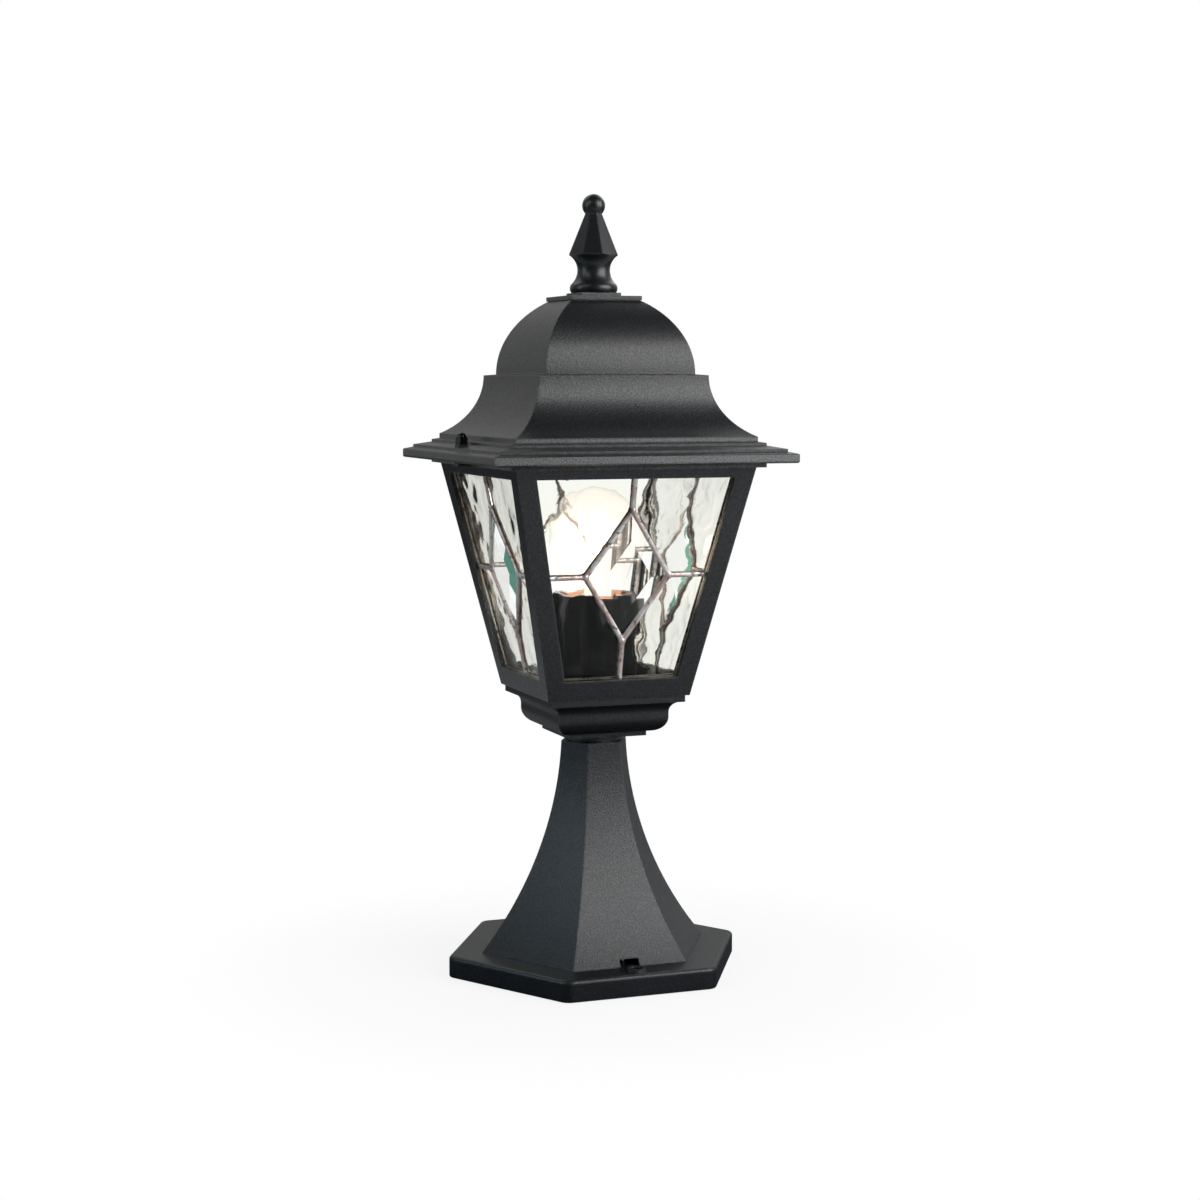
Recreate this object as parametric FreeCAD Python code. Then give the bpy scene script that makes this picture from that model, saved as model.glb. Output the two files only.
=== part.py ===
import FreeCAD, Part
import math
import os

# Pedestal lantern: cast aluminium body with leaded glass, on a flared hexagonal column.
# Millimetres, +Z up, front towards -Y, origin in the middle of the base plate's underside.

# Base plate
PLATE_FLATS = 174.0
PLATE_HEIGHT = 14.0
PLATE_DECK = 4.5
PLATE_RIM = 5.0
PLATE_CORNER_ROUND = 8.0
PLATE_EDGE_ROUND = 2.5
PLATE_FOOT_ROUND = 1.0
PLATE_POCKET_ROUND = 5.5

# Ground fixing: two holes between the column and the edge of the plate, front and back
FIXING_HOLE = 7.0
FIXING_BOSS = 14.0
FIXING_PAD = 12.0
FIXING_PAD_RISE = 2.0

# Cable entry
ENTRY_HOLE = 20.0
ENTRY_BORE = 9.0
GROMMET_FLANGE = 26.0
GROMMET_LIP = 2.5

# Column
COLUMN_FOOT_FLATS = 134.0
COLUMN_TOP_FLATS = 39.0
COLUMN_HEIGHT = 136.5
COLUMN_FLARE_RADIUS = 250.0
COLUMN_WALL = 3.5
COLUMN_TOP_PLATE = 4.5
COLUMN_BOSS = 12.0
COLUMN_BOSS_HEIGHT = 12.0
COLUMN_BOSS_SETBACK = 13.0
COLUMN_RIB = 6.0
NOTCH_WIDTH = 13.0
NOTCH_HEIGHT = 4.5

# Collar, threaded tube, nuts and washers that clamp the lantern to the column
COLLAR_DIAMETER = 37.0
COLLAR_HEIGHT = 4.5
TUBE_DIAMETER = 10.0
TUBE_BORE = 7.5
TUBE_TAIL = 4.5
TUBE_NUT_FLATS = 14.0
TUBE_NUT_HEIGHT = 6.0
TUBE_WASHER = 21.0
TUBE_WASHER_THICKNESS = 1.5

# Stepped underside of the lantern body, from the cage downwards
BODY_WALL = 3.0
BODY_FLOOR = 4.0
CAGE_OVERHANG = 2.2
STEP_HEIGHT = 4.5
STEP_SET = 1.0
COVE_RADIUS = 7.2
FILLET_HEIGHT = 3.1
OVOLO_RADIUS = 10.0
OVOLO_SET = 1.1
LOW_STEP_HEIGHT = 3.2

# Tapered cage with four windows
CAGE_FOOT_WIDTH = 96.0
CAGE_TOP_WIDTH = 160.6
CAGE_HEIGHT = 150.0
STILE_WIDTH = 12.5
LOW_RAIL = 12.8
TOP_RAIL = 9.4
FLANGE_REACH = 4.2
FLANGE_THICKNESS = 3.0

# Leaded panes
PANE_LAP = 3.2
GLASS_THICKNESS = 3.0
GLASS_CLEARANCE = 0.1
LEAD_FACE = 3.0
LEAD_RISE = 1.0
LEAD_HEART = 1.0
LEAD_LAP = 0.5
SOLDER_RADIUS = 2.4
SOLDER_RISE = 1.15
DIAMOND_WIDTH = 56.0
DIAMOND_HEIGHT = 85.0
DIAMOND_LIFT = 80.0
BEVEL_WIDTH = 9.0
BEVEL_RISE = 2.0

# Clips that hold each pane at its head and foot
CLIP_BOSS = 4.6
CLIP_GAP = 0.3
CLIP_WIDTH = 9.0
CLIP_GRIP = 3.0
CLIP_THICKNESS = 1.0
CLIP_SCREW = 2.5
CLIP_SCREW_HEAD = 4.8
CLIP_SCREW_HEAD_HEIGHT = 1.6

# Roof
ROOF_WALL = 3.0
BRIM_OVERHANG = 19.7
BRIM_EDGE_ROUND = 1.2
FASCIA_HEIGHT = 6.0
BRIM_SLOPE = 0.2
RING_SET = 5.6
RING_STEP = 1.6
LEDGE_WIDTH = 10.0
FOOT_SET = 4.2
FOOT_HEIGHT = 3.0
SKIRT_RUN = 23.6
SKIRT_HEIGHT = 38.5
SHOULDER_WIDTH = 6.5
SHOULDER_RISE = 0.6
DOME_RUN = 27.1
DOME_HEIGHT = 47.1
CAP_LAP = 1.0
CAP_THICKNESS = 2.7
SEAT_WIDTH = 27.4
SEAT_HEIGHT = 2.3
BRIM_LIP = 3.0
BRIM_SKIN = 3.0
BRIM_LAND = 1.5

# Studs and dome nuts that hold the roof down, on the left and the right
STUD_DIAMETER = 4.0
STUD_PAD = 9.0
LUG_WIDTH = 10.0
ROOF_NUT_FLATS = 7.0
ROOF_NUT_HEIGHT = 4.6
ROOF_NUT_DOME = 6.4

# Finial
FINIAL_BASE = 30.8
FINIAL_BASE_HEIGHT = 5.8
FINIAL_BASE_BULGE = 1.1
FINIAL_NECK = 21.0
FINIAL_NECK_RISE = 8.8
SPIRE_SIDES = 8
SPIRE_WIDTH = 33.4
SPIRE_RISE = 10.1
SPIRE_HEIGHT = 26.2
SPIRE_TOP = 11.2
FINIAL_BALL = 14.8
FINIAL_STUD = 6.0
FINIAL_STUD_GRIP = 14.0
FINIAL_NUT_FLATS = 10.0
FINIAL_NUT_HEIGHT = 5.0
FINIAL_WASHER = 16.0
FINIAL_WASHER_THICKNESS = 1.2
FINIAL_STUD_TAIL = 3.0

# Lampholder, from its foot upwards
HOLDER_LIFT = 25.0
HOLDER_WIDTH = 54.0
HOLDER_FLANGE = 3.0
HOLDER_PLUG_HEIGHT = 8.0
HOLDER_TUBE_GRIP = 6.0
HOLDER_LEAD_HOLE = 8.0
COVER_WALL = 2.0
COVER_HEIGHT = 60.0
COVER_MOUTH = 42.0
CORE_WIDTH = 40.0
CORE_HEIGHT = 41.0
CORE_CHAMBER = 18.0
CORE_CHAMBER_HEIGHT = 5.0
CORE_FLOOR = 3.5
SHELL_WIDTH = 28.0
SHELL_THICKNESS = 0.7
SHELL_HEIGHT = 31.0
CONTACT_WIDTH = 12.0
CONTACT_RIVET = 2.8
CONTACT_THICKNESS = 0.8
CONTACT_TIP = 6.0
CONTACT_RISE = 2.5

# Bulb
BULB_LENGTH = 110.0
BULB_WIDTH = 60.0
BULB_CAP = 26.0
BULB_CAP_HEIGHT = 28.0
BULB_CONE_HEIGHT = 7.0
BULB_TIP = 9.0
BULB_TIP_HEIGHT = 2.0
BULB_NECK = 28.0
BULB_NECK_RISE = 4.0

# Wiring inside the column
BLOCK_LENGTH = 26.0
BLOCK_DEPTH = 16.0
BLOCK_HEIGHT = 14.0
BLOCK_SETBACK = 18.0
BLOCK_WAYS = 3
PORT_HEIGHT = 9.0
PORT_BORE = 2.8
BLOCK_SCREW = 3.2
BLOCK_SCREW_DEPTH = 3.8
BLOCK_SCREW_INSET = 4.0
LEAD_WIRE = 2.4
WIRE_GRIP = 5.0
WIRE_BEND = 8.0
WIRE_TURN_IN = 60.0
WIRE_SWING = 38.0
WIRE_SPACING = 3.8
EARTH_BEND = 5.0
EARTH_RUN = 4.0
TAG_WIDTH = 8.0
TAG_TONGUE = 4.0
TAG_THICKNESS = 0.8
TAG_REACH = 7.0
EARTH_SCREW = 4.0
EARTH_SCREW_HEAD = 7.0
EARTH_SCREW_HEAD_HEIGHT = 2.6
EARTH_SCREW_HEAD_ROUND = 0.9

# Screws between the plate and the column
COLUMN_SCREW = 5.0
COLUMN_SCREW_HEAD = 9.0
COLUMN_SCREW_HEAD_HEIGHT = 3.2
COLUMN_SCREW_HEAD_ROUND = 1.0
COLUMN_SCREW_GRIP = 10.0

# Fits
HOLE_CLEARANCE = 0.2
THREAD_CLEARANCE = 0.05
SLIDE_CLEARANCE = 0.1

LEFT = 1
RIGHT = -1
SIDES = ("front", "right", "back", "left")
Vector = FreeCAD.Vector
ORIGIN = Vector(0, 0, 0)
X_AXIS = Vector(1, 0, 0)
UP = Vector(0, 0, 1)

# Levels, stacked from the ground up
plate_top = PLATE_HEIGHT
deck_under = PLATE_HEIGHT - PLATE_DECK
column_top = plate_top + COLUMN_HEIGHT
column_ceiling = column_top - COLUMN_TOP_PLATE
body_base = column_top + COLLAR_HEIGHT
body_floor = body_base + BODY_FLOOR
low_step_top = body_base + LOW_STEP_HEIGHT
ovolo_top = low_step_top + OVOLO_RADIUS
fillet_top = ovolo_top + FILLET_HEIGHT
cove_top = fillet_top + COVE_RADIUS
cage_base = cove_top + STEP_HEIGHT
cage_top = cage_base + CAGE_HEIGHT
fascia_top = cage_top + FASCIA_HEIGHT
ring_base = fascia_top + BRIM_SLOPE * RING_SET
ring_top = ring_base + RING_STEP
ledge_end = ring_top + BRIM_SLOPE * LEDGE_WIDTH
foot_base = ledge_end + RING_STEP
foot_low = foot_base + BRIM_SLOPE * FOOT_SET
foot_top = foot_low + FOOT_HEIGHT
skirt_top = foot_top + SKIRT_HEIGHT
dome_base = skirt_top + SHOULDER_RISE
dome_top = dome_base + DOME_HEIGHT
roof_ceiling = dome_top - ROOF_WALL
cap_top = dome_top + CAP_THICKNESS
seat_top = cap_top + SEAT_HEIGHT
holder_base = body_floor + HOLDER_LIFT
holder_flange_top = holder_base + HOLDER_FLANGE
core_base = holder_flange_top + HOLDER_PLUG_HEIGHT
well_floor = core_base + CORE_CHAMBER_HEIGHT + CORE_FLOOR
bulb_base = well_floor + CONTACT_RISE
tube_top = holder_base + HOLDER_TUBE_GRIP
tube_base = column_ceiling - TUBE_WASHER_THICKNESS - TUBE_NUT_HEIGHT - TUBE_TAIL

# Half widths
plate_half = PLATE_FLATS / 2
column_foot_half = COLUMN_FOOT_FLATS / 2
column_top_half = COLUMN_TOP_FLATS / 2
cage_foot_half = CAGE_FOOT_WIDTH / 2
cage_top_half = CAGE_TOP_WIDTH / 2
step_half = cage_foot_half - CAGE_OVERHANG
cove_half = step_half - STEP_SET
ovolo_half = cove_half - COVE_RADIUS
ovolo_foot_half = ovolo_half - OVOLO_RADIUS
low_step_half = ovolo_foot_half - OVOLO_SET
flange_half = cage_top_half + FLANGE_REACH
brim_half = cage_top_half + BRIM_OVERHANG
ring_half = brim_half - RING_SET
ledge_half = ring_half - LEDGE_WIDTH
foot_half = ledge_half - FOOT_SET
skirt_half = foot_half - SKIRT_RUN
dome_half = skirt_half - SHOULDER_WIDTH
dome_end_half = dome_half - DOME_RUN
mouth_half = foot_half - ROOF_WALL

# Places that several pieces share
fixing_radius = (column_foot_half + plate_half) / 2
fixing_angles = (-90, 90)
screw_radius = column_foot_half - COLUMN_BOSS_SETBACK
screw_angles = [angle + turn for angle in fixing_angles for turn in (-60, 60)]
stud_offset = ring_half - LEDGE_WIDTH / 2
stud_seat = ledge_end
tube_hole = TUBE_DIAMETER / 2 + HOLE_CLEARANCE

# Each pane lies in its own frame: U across, V up the slope of the cage, W outwards from its face
tilt = math.atan2(cage_top_half - cage_foot_half, CAGE_HEIGHT)
face_length = CAGE_HEIGHT / math.cos(tilt)
window_low = LOW_RAIL
window_high = face_length - TOP_RAIL
pane_low = window_low - PANE_LAP
pane_high = window_high + PANE_LAP
glass_front = -BODY_WALL - LEAD_RISE
glass_back = glass_front - GLASS_THICKNESS
pane_back = glass_back - LEAD_RISE
clip_seats = (pane_low - CLIP_GAP - CLIP_BOSS / 2, pane_high + CLIP_GAP + CLIP_BOSS / 2)


class Outline:
    """Half of a section in the XZ plane, drawn from point to point."""

    def __init__(self, x, z):
        self.start = Vector(x, 0, z)
        self.here = self.start
        self.edges = []

    def line(self, x, z):
        """Draws a straight run."""
        there = Vector(x, 0, z)
        self.edges.append(Part.LineSegment(self.here, there).toShape())
        self.here = there
        return self

    def arc(self, x, z, radius, side):
        """Draws an arc that bulges to the left or the right of its way."""
        there = Vector(x, 0, z)
        chord = there - self.here
        rise = radius - math.sqrt(radius ** 2 - (chord.Length / 2) ** 2)
        across = Vector(-chord.z, 0, chord.x).normalize()
        middle = (self.here + there) * 0.5 + across * (side * rise)
        self.edges.append(Part.Arc(self.here, middle, there).toShape())
        self.here = there
        return self

    def closed(self):
        """Ends the outline with a straight run to its start."""
        return self.line(self.start.x, self.start.z)


def upright_arc_radius(run, rise):
    """Radius of an arc that is upright at one end and covers a run and a rise."""
    return (run ** 2 + rise ** 2) / (2 * run)


def section(edges):
    """Face inside a closed set of edges."""
    return Part.Face(Part.Wire(Part.__sortEdges__(edges)))


def turned(outline):
    """Solid of revolution about the Z axis."""
    return section(outline.closed().edges).revolve(ORIGIN, UP, 360)


def mitred(outline, sides):
    """Solid with the same outline on every side and mitred corners, one side facing the front."""
    mirrored = [edge.mirror(ORIGIN, X_AXIS) for edge in outline.edges]
    face = section(outline.edges + mirrored)
    reach = face.BoundBox.XLength
    prism = face.extrude(Vector(0, 2 * reach, 0))
    prism.translate(Vector(0, -reach, 0))
    pitch = 360 / sides
    prism.rotate(ORIGIN, UP, 90 % pitch)
    solid = prism
    for index in range(1, sides // 2):
        other = prism.copy()
        other.rotate(ORIGIN, UP, pitch * index)
        solid = solid.common(other)
    return solid


def around(radius, angle):
    """Point on a circle about the Z axis."""
    return Vector(radius * math.cos(math.radians(angle)), radius * math.sin(math.radians(angle)), 0)


def cylinder(diameter, low, high, centre=ORIGIN):
    """Upright cylinder between two levels."""
    return Part.makeCylinder(diameter / 2, high - low, Vector(centre.x, centre.y, low))


def ring(outer, inner, low, high, centre=ORIGIN):
    """Upright ring between two levels."""
    return cylinder(outer, low, high, centre).cut(cylinder(inner, low, high, centre))


def hexagon(flats, low, high, centre=ORIGIN, turn=0):
    """Hexagonal prism, with flats to the front and the back unless it is turned."""
    corners = [centre + around(flats / math.sqrt(3), turn + 60 * index) for index in range(6)]
    wire = Part.makePolygon(corners + corners[:1])
    prism = Part.Face(wire).extrude(UP * (high - low))
    prism.translate(UP * low)
    return prism


def edges_level(shape, level):
    """Edges that lie flat at one level."""
    return [edge for edge in shape.Edges
            if abs(edge.BoundBox.ZMin - level) < 1e-6 and abs(edge.BoundBox.ZMax - level) < 1e-6]


def edges_upright(shape):
    """Straight edges along Z."""
    return [edge for edge in shape.Edges if edge.BoundBox.XLength < 1e-6 and edge.BoundBox.YLength < 1e-6]


def base_plate():
    """Hexagonal ground plate, hollow below, with bosses for the ground bolts."""
    plate = hexagon(PLATE_FLATS, 0, plate_top)
    plate = plate.makeFillet(PLATE_CORNER_ROUND, edges_upright(plate))
    plate = plate.makeFillet(PLATE_EDGE_ROUND, edges_level(plate, plate_top))
    plate = plate.makeFillet(PLATE_FOOT_ROUND, edges_level(plate, 0))
    pocket = hexagon(PLATE_FLATS - 2 * PLATE_RIM, 0, deck_under)
    pocket = pocket.makeFillet(PLATE_POCKET_ROUND, edges_upright(pocket))
    envelope = hexagon(PLATE_FLATS - PLATE_RIM, 0, plate_top + FIXING_PAD_RISE)
    bosses = []
    holes = [cylinder(ENTRY_HOLE, 0, plate_top)]
    for angle in fixing_angles:
        spot = around(fixing_radius, angle)
        bosses.append(cylinder(FIXING_BOSS, 0, plate_top, spot).common(envelope))
        bosses.append(cylinder(FIXING_PAD, 0, plate_top + FIXING_PAD_RISE, spot).common(envelope))
        holes.append(cylinder(FIXING_HOLE, 0, plate_top + FIXING_PAD_RISE, spot))
    for angle in screw_angles:
        spot = around(screw_radius, angle)
        holes.append(cylinder(COLUMN_SCREW + 2 * HOLE_CLEARANCE, 0, plate_top, spot))
    earth_spot = Vector(0, earth_screw_place(), 0)
    holes.append(cylinder(EARTH_SCREW + 2 * THREAD_CLEARANCE, 0, plate_top, earth_spot))
    return plate.cut(pocket).fuse(bosses).cut(holes).removeSplitter()


def cable_grommet():
    """Rubber ring in the deck where the supply cable comes in."""
    bore = ENTRY_BORE / 2
    neck = ENTRY_HOLE / 2 - SLIDE_CLEARANCE
    flange = GROMMET_FLANGE / 2
    outline = Outline(bore, deck_under - GROMMET_LIP).line(flange, deck_under - GROMMET_LIP)
    outline.line(flange, deck_under).line(neck, deck_under).line(neck, plate_top).line(flange, plate_top)
    outline.line(flange, plate_top + GROMMET_LIP).line(bore, plate_top + GROMMET_LIP)
    return turned(outline)


def pedestal_column():
    """Hollow flared column with a notch above each ground bolt."""
    outer = Outline(0, plate_top).line(column_foot_half, plate_top)
    outer.arc(column_top_half, column_top, COLUMN_FLARE_RADIUS, LEFT).line(0, column_top)
    inner = Outline(0, plate_top).line(column_foot_half - COLUMN_WALL, plate_top)
    inner.arc(column_top_half - COLUMN_WALL, column_ceiling, COLUMN_FLARE_RADIUS, LEFT)
    inner.line(0, column_ceiling)
    envelope = mitred(outer, 6)
    column = envelope.cut(mitred(inner, 6))
    holes = [cylinder(2 * tube_hole, column_ceiling, column_top)]
    bosses = []
    for angle in screw_angles:
        spot = around(screw_radius, angle)
        boss = cylinder(COLUMN_BOSS, plate_top, plate_top + COLUMN_BOSS_HEIGHT, spot)
        rib = Part.makeBox(COLUMN_BOSS_SETBACK, COLUMN_RIB, COLUMN_BOSS_HEIGHT)
        rib.translate(Vector(screw_radius, -COLUMN_RIB / 2, plate_top))
        rib.rotate(ORIGIN, UP, angle)
        bosses += [boss.common(envelope), rib.common(envelope)]
        hole = COLUMN_SCREW + 2 * THREAD_CLEARANCE
        holes.append(cylinder(hole, plate_top, plate_top + COLUMN_SCREW_GRIP + HOLE_CLEARANCE, spot))
    for angle in fixing_angles:
        notch = Part.makeBox(column_foot_half, NOTCH_WIDTH, NOTCH_HEIGHT)
        notch.translate(Vector(column_foot_half / 2, -NOTCH_WIDTH / 2, plate_top))
        notch.rotate(ORIGIN, UP, angle)
        holes.append(notch)
    return column.fuse(bosses).cut(holes).removeSplitter()


def column_screws():
    """Pan head screws through the deck into the column's bosses."""
    screws = []
    head_low = deck_under - COLUMN_SCREW_HEAD_HEIGHT
    for angle in screw_angles:
        spot = around(screw_radius, angle)
        head = cylinder(COLUMN_SCREW_HEAD, head_low, deck_under, spot)
        head = head.makeFillet(COLUMN_SCREW_HEAD_ROUND, edges_level(head, head_low))
        shank = cylinder(COLUMN_SCREW, deck_under, plate_top + COLUMN_SCREW_GRIP, spot)
        screws.append(head.fuse(shank).removeSplitter())
    return Part.makeCompound(screws)


def neck_collar():
    """Round spacer between the column and the lantern body."""
    return ring(COLLAR_DIAMETER, 2 * tube_hole, column_top, body_base)


def threaded_tube():
    """Hollow threaded rod that clamps collar, body and lampholder together and carries the leads."""
    return ring(TUBE_DIAMETER, TUBE_BORE, tube_base, tube_top)


def tube_washers():
    """Flat washers below the column's top plate and on the body's floor."""
    bore = 2 * tube_hole
    under = ring(TUBE_WASHER, bore, column_ceiling - TUBE_WASHER_THICKNESS, column_ceiling)
    over = ring(TUBE_WASHER, bore, body_floor, body_floor + TUBE_WASHER_THICKNESS)
    return Part.makeCompound([under, over])


def tube_nuts():
    """Hexagon nuts against the two washers."""
    bore = TUBE_DIAMETER + 2 * THREAD_CLEARANCE
    nuts = []
    under = column_ceiling - TUBE_WASHER_THICKNESS - TUBE_NUT_HEIGHT
    over = body_floor + TUBE_WASHER_THICKNESS
    for low in (under, over):
        high = low + TUBE_NUT_HEIGHT
        nuts.append(hexagon(TUBE_NUT_FLATS, low, high).cut(cylinder(bore, low, high)))
    return Part.makeCompound(nuts)


def cage_half(level):
    """Half width of the cage's outer face at a level."""
    return cage_foot_half + (level - cage_base) * math.tan(tilt)


def face_half(v):
    """Half width of a cage side at a distance up its slope."""
    return cage_foot_half + v * math.sin(tilt)


def on_side(shape, index):
    """Copy of a shape from the pane's frame, on one of the four sides."""
    moved = shape.copy()
    moved.rotate(ORIGIN, X_AXIS, 90 + math.degrees(tilt))
    moved.translate(Vector(0, -cage_foot_half, cage_base))
    moved.rotate(ORIGIN, UP, 90 * index)
    return moved


def trapezium(low, high, margin, near, far):
    """Prism in the pane's frame that follows the cage's slanting sides at a margin."""
    corners = [Vector(-face_half(low) + margin, low, near), Vector(face_half(low) - margin, low, near),
               Vector(face_half(high) - margin, high, near), Vector(-face_half(high) + margin, high, near)]
    return Part.Face(Part.makePolygon(corners + corners[:1])).extrude(UP * (far - near))


def clip_boss(seat):
    """Boss inside the cage wall, as deep as a pane, with a hole for the clip's screw."""
    boss = cylinder(CLIP_BOSS, pane_back, -BODY_WALL / 2, Vector(0, seat, 0))
    hole = cylinder(CLIP_SCREW + 2 * THREAD_CLEARANCE, pane_back, -BODY_WALL, Vector(0, seat, 0))
    return boss, hole


def lantern_body():
    """Cage with its stepped underside, cast in one piece."""
    wall = BODY_WALL / math.cos(tilt)
    flange_base = cage_top - FLANGE_THICKNESS
    outer = Outline(0, body_base).line(low_step_half, body_base).line(low_step_half, low_step_top)
    outer.line(ovolo_foot_half, low_step_top).arc(ovolo_half, ovolo_top, OVOLO_RADIUS, RIGHT)
    outer.line(ovolo_half, fillet_top).arc(cove_half, cove_top, COVE_RADIUS, LEFT)
    outer.line(step_half, cove_top).line(step_half, cage_base).line(cage_foot_half, cage_base)
    outer.line(cage_half(flange_base), flange_base).line(flange_half, flange_base)
    outer.line(flange_half, cage_top).line(0, cage_top)
    inner_low = low_step_half - BODY_WALL
    inner_ovolo = ovolo_half - BODY_WALL
    inner = Outline(0, body_floor).line(inner_low, body_floor).line(inner_low, low_step_top + BODY_WALL)
    inner.line(ovolo_foot_half, low_step_top + BODY_WALL)
    inner.arc(inner_ovolo, ovolo_top, OVOLO_RADIUS - BODY_WALL, RIGHT).line(inner_ovolo, fillet_top)
    inner.arc(cove_half, cove_top + BODY_WALL, COVE_RADIUS + BODY_WALL, LEFT)
    inner.line(cage_foot_half - wall, cage_base).line(cage_top_half - wall, cage_top).line(0, cage_top)
    body = mitred(outer, 4).cut(mitred(inner, 4))
    window = trapezium(window_low, window_high, STILE_WIDTH, -2 * BODY_WALL, BODY_WALL)
    added = []
    removed = [cylinder(2 * tube_hole, body_base, body_floor)]
    for index in range(len(SIDES)):
        removed.append(on_side(window, index))
        for seat in clip_seats:
            boss, hole = clip_boss(seat)
            added.append(on_side(boss, index))
            removed.append(on_side(hole, index))
    for direction in (-1, 1):
        spot = Vector(direction * stud_offset, 0, 0)
        tongue_root = cage_top_half - BODY_WALL / 2
        tongue = Part.makeBox(stud_offset - tongue_root, LUG_WIDTH, FLANGE_THICKNESS)
        tongue.translate(Vector(tongue_root, -LUG_WIDTH / 2, flange_base))
        if direction < 0:
            tongue.rotate(ORIGIN, UP, 180)
        added += [tongue, cylinder(LUG_WIDTH, flange_base, cage_top, spot)]
        removed.append(cylinder(STUD_DIAMETER + 2 * THREAD_CLEARANCE, flange_base, cage_top, spot))
    return body.fuse(added).cut(removed).removeSplitter()


def lead_lines(past):
    """Centre lines of the lead: the diamond's sides, then four arms that end past the window's edge."""
    centre = Vector(0, DIAMOND_LIFT, 0)
    tips = [centre + Vector(DIAMOND_WIDTH / 2, 0, 0), centre + Vector(0, DIAMOND_HEIGHT / 2, 0),
            centre - Vector(DIAMOND_WIDTH / 2, 0, 0), centre - Vector(0, DIAMOND_HEIGHT / 2, 0)]
    side_end = face_half(DIAMOND_LIFT) - STILE_WIDTH + past
    ends = [Vector(side_end, DIAMOND_LIFT, 0), Vector(0, window_high + past, 0),
            Vector(-side_end, DIAMOND_LIFT, 0), Vector(0, window_low - past, 0)]
    diamond = [(tips[index - 1], tips[index]) for index in range(4)]
    return diamond + list(zip(tips, ends))


def along(shape, start, end):
    """Turns a bar that was made along U so that it runs from one point to another."""
    way = end - start
    shape.rotate(ORIGIN, UP, math.degrees(math.atan2(way.y, way.x)))
    shape.translate(start)
    return shape


def lead_web(width):
    """Flat bars of one width along all lead lines, as deep as the glass, up to the border's web."""
    bars = []
    for start, end in lead_lines(PANE_LAP - LEAD_HEART):
        bar = Part.makeBox((end - start).Length + width, width, GLASS_THICKNESS)
        bar.translate(Vector(-width / 2, -width / 2, glass_back))
        bars.append(along(bar, start, end))
    return bars[0].fuse(bars[1:])


def lead_bead(start, end, base, rise):
    """Half round lead on one face of the glass."""
    half = LEAD_FACE / 2
    left = Vector(0, half, base)
    right = Vector(0, -half, base)
    crown = Part.Arc(left, Vector(0, 0, base + rise), right).toShape()
    face = section([crown, Part.LineSegment(right, left).toShape()])
    return along(face.extrude(X_AXIS * (end - start).Length), start, end)


def solder_joint(spot, base, direction, margin=0):
    """Low dome of solder over a crossing of the lead, larger by a margin where it cuts its way."""
    reach = SOLDER_RADIUS + margin
    rise = SOLDER_RISE + margin
    radius = (reach ** 2 + rise ** 2) / (2 * rise)
    centre = spot + UP * (base + direction * (rise - radius))
    levels = sorted((base, base + direction * radius))
    return Part.makeSphere(radius, centre).common(cylinder(2 * reach, *levels, spot))


def leadwork():
    """Lead lattice of one pane with its border channel, soldered into one piece."""
    frame_margin = STILE_WIDTH - PANE_LAP
    web_margin = frame_margin + LEAD_HEART
    outside = trapezium(pane_low, pane_high, frame_margin, pane_back, -BODY_WALL)
    daylight = trapezium(window_low, window_high, STILE_WIDTH, pane_back, -BODY_WALL)
    groove = trapezium(pane_low + LEAD_HEART, pane_high - LEAD_HEART, web_margin, glass_back, glass_front)
    pieces = [lead_web(LEAD_HEART)]
    lines = lead_lines(LEAD_LAP)
    for start, end in lines:
        pieces.append(lead_bead(start, end, glass_front, LEAD_RISE))
        pieces.append(lead_bead(start, end, glass_back, -LEAD_RISE))
    for start, end in lines[:4]:
        pieces.append(solder_joint(end, glass_front, 1))
        pieces.append(solder_joint(end, glass_back, -1))
    return outside.cut(daylight).cut(groove).fuse(pieces).removeSplitter()


def diamond(inset, level):
    """Outline of the middle diamond, moved inwards by a distance."""
    half_width = DIAMOND_WIDTH / 2
    half_height = DIAMOND_HEIGHT / 2
    inner_radius = half_width * half_height / math.hypot(half_width, half_height)
    scale = (inner_radius - inset) / inner_radius
    middle = Vector(0, DIAMOND_LIFT, level)
    across = Vector(half_width * scale, 0, 0)
    up = Vector(0, half_height * scale, 0)
    corners = [middle + across, middle + up, middle - across, middle - up]
    return Part.makePolygon(corners + corners[:1])


def pane_glass():
    """The four textured corner glasses and the bevelled diamond of one pane, by name."""
    margin = LEAD_HEART + GLASS_CLEARANCE
    side_margin = STILE_WIDTH - PANE_LAP + margin
    sheet = trapezium(pane_low + margin, pane_high - margin, side_margin, glass_back, glass_front)
    tips = [end for start, end in lead_lines(LEAD_LAP)[:4]]
    solder = [solder_joint(tip, glass_front, 1, GLASS_CLEARANCE) for tip in tips]
    pieces = {}
    for piece in sheet.cut(lead_web(LEAD_HEART + 2 * GLASS_CLEARANCE)).Solids:
        across = piece.CenterOfMass.x
        height = piece.CenterOfMass.y - DIAMOND_LIFT
        if abs(across) < LEAD_FACE and abs(height) < LEAD_FACE:
            foot = diamond(LEAD_FACE / 2 + GLASS_CLEARANCE, glass_front)
            crown = diamond(LEAD_FACE / 2 + BEVEL_WIDTH, glass_front + BEVEL_RISE)
            bevel = Part.makeLoft([foot, crown], True, True).cut(solder)
            pieces["bevel_diamond"] = piece.fuse(bevel).removeSplitter()
        else:
            level = "upper" if height > 0 else "lower"
            hand = "right" if across > 0 else "left"
            pieces[f"glass_{level}_{hand}"] = piece
    return pieces


def clip_span(seat):
    """Lowest and highest V of a clip: from its boss to its grip on the pane."""
    if seat < pane_low:
        return seat - CLIP_BOSS / 2, pane_low + CLIP_GRIP
    return pane_high - CLIP_GRIP, seat + CLIP_BOSS / 2


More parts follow.
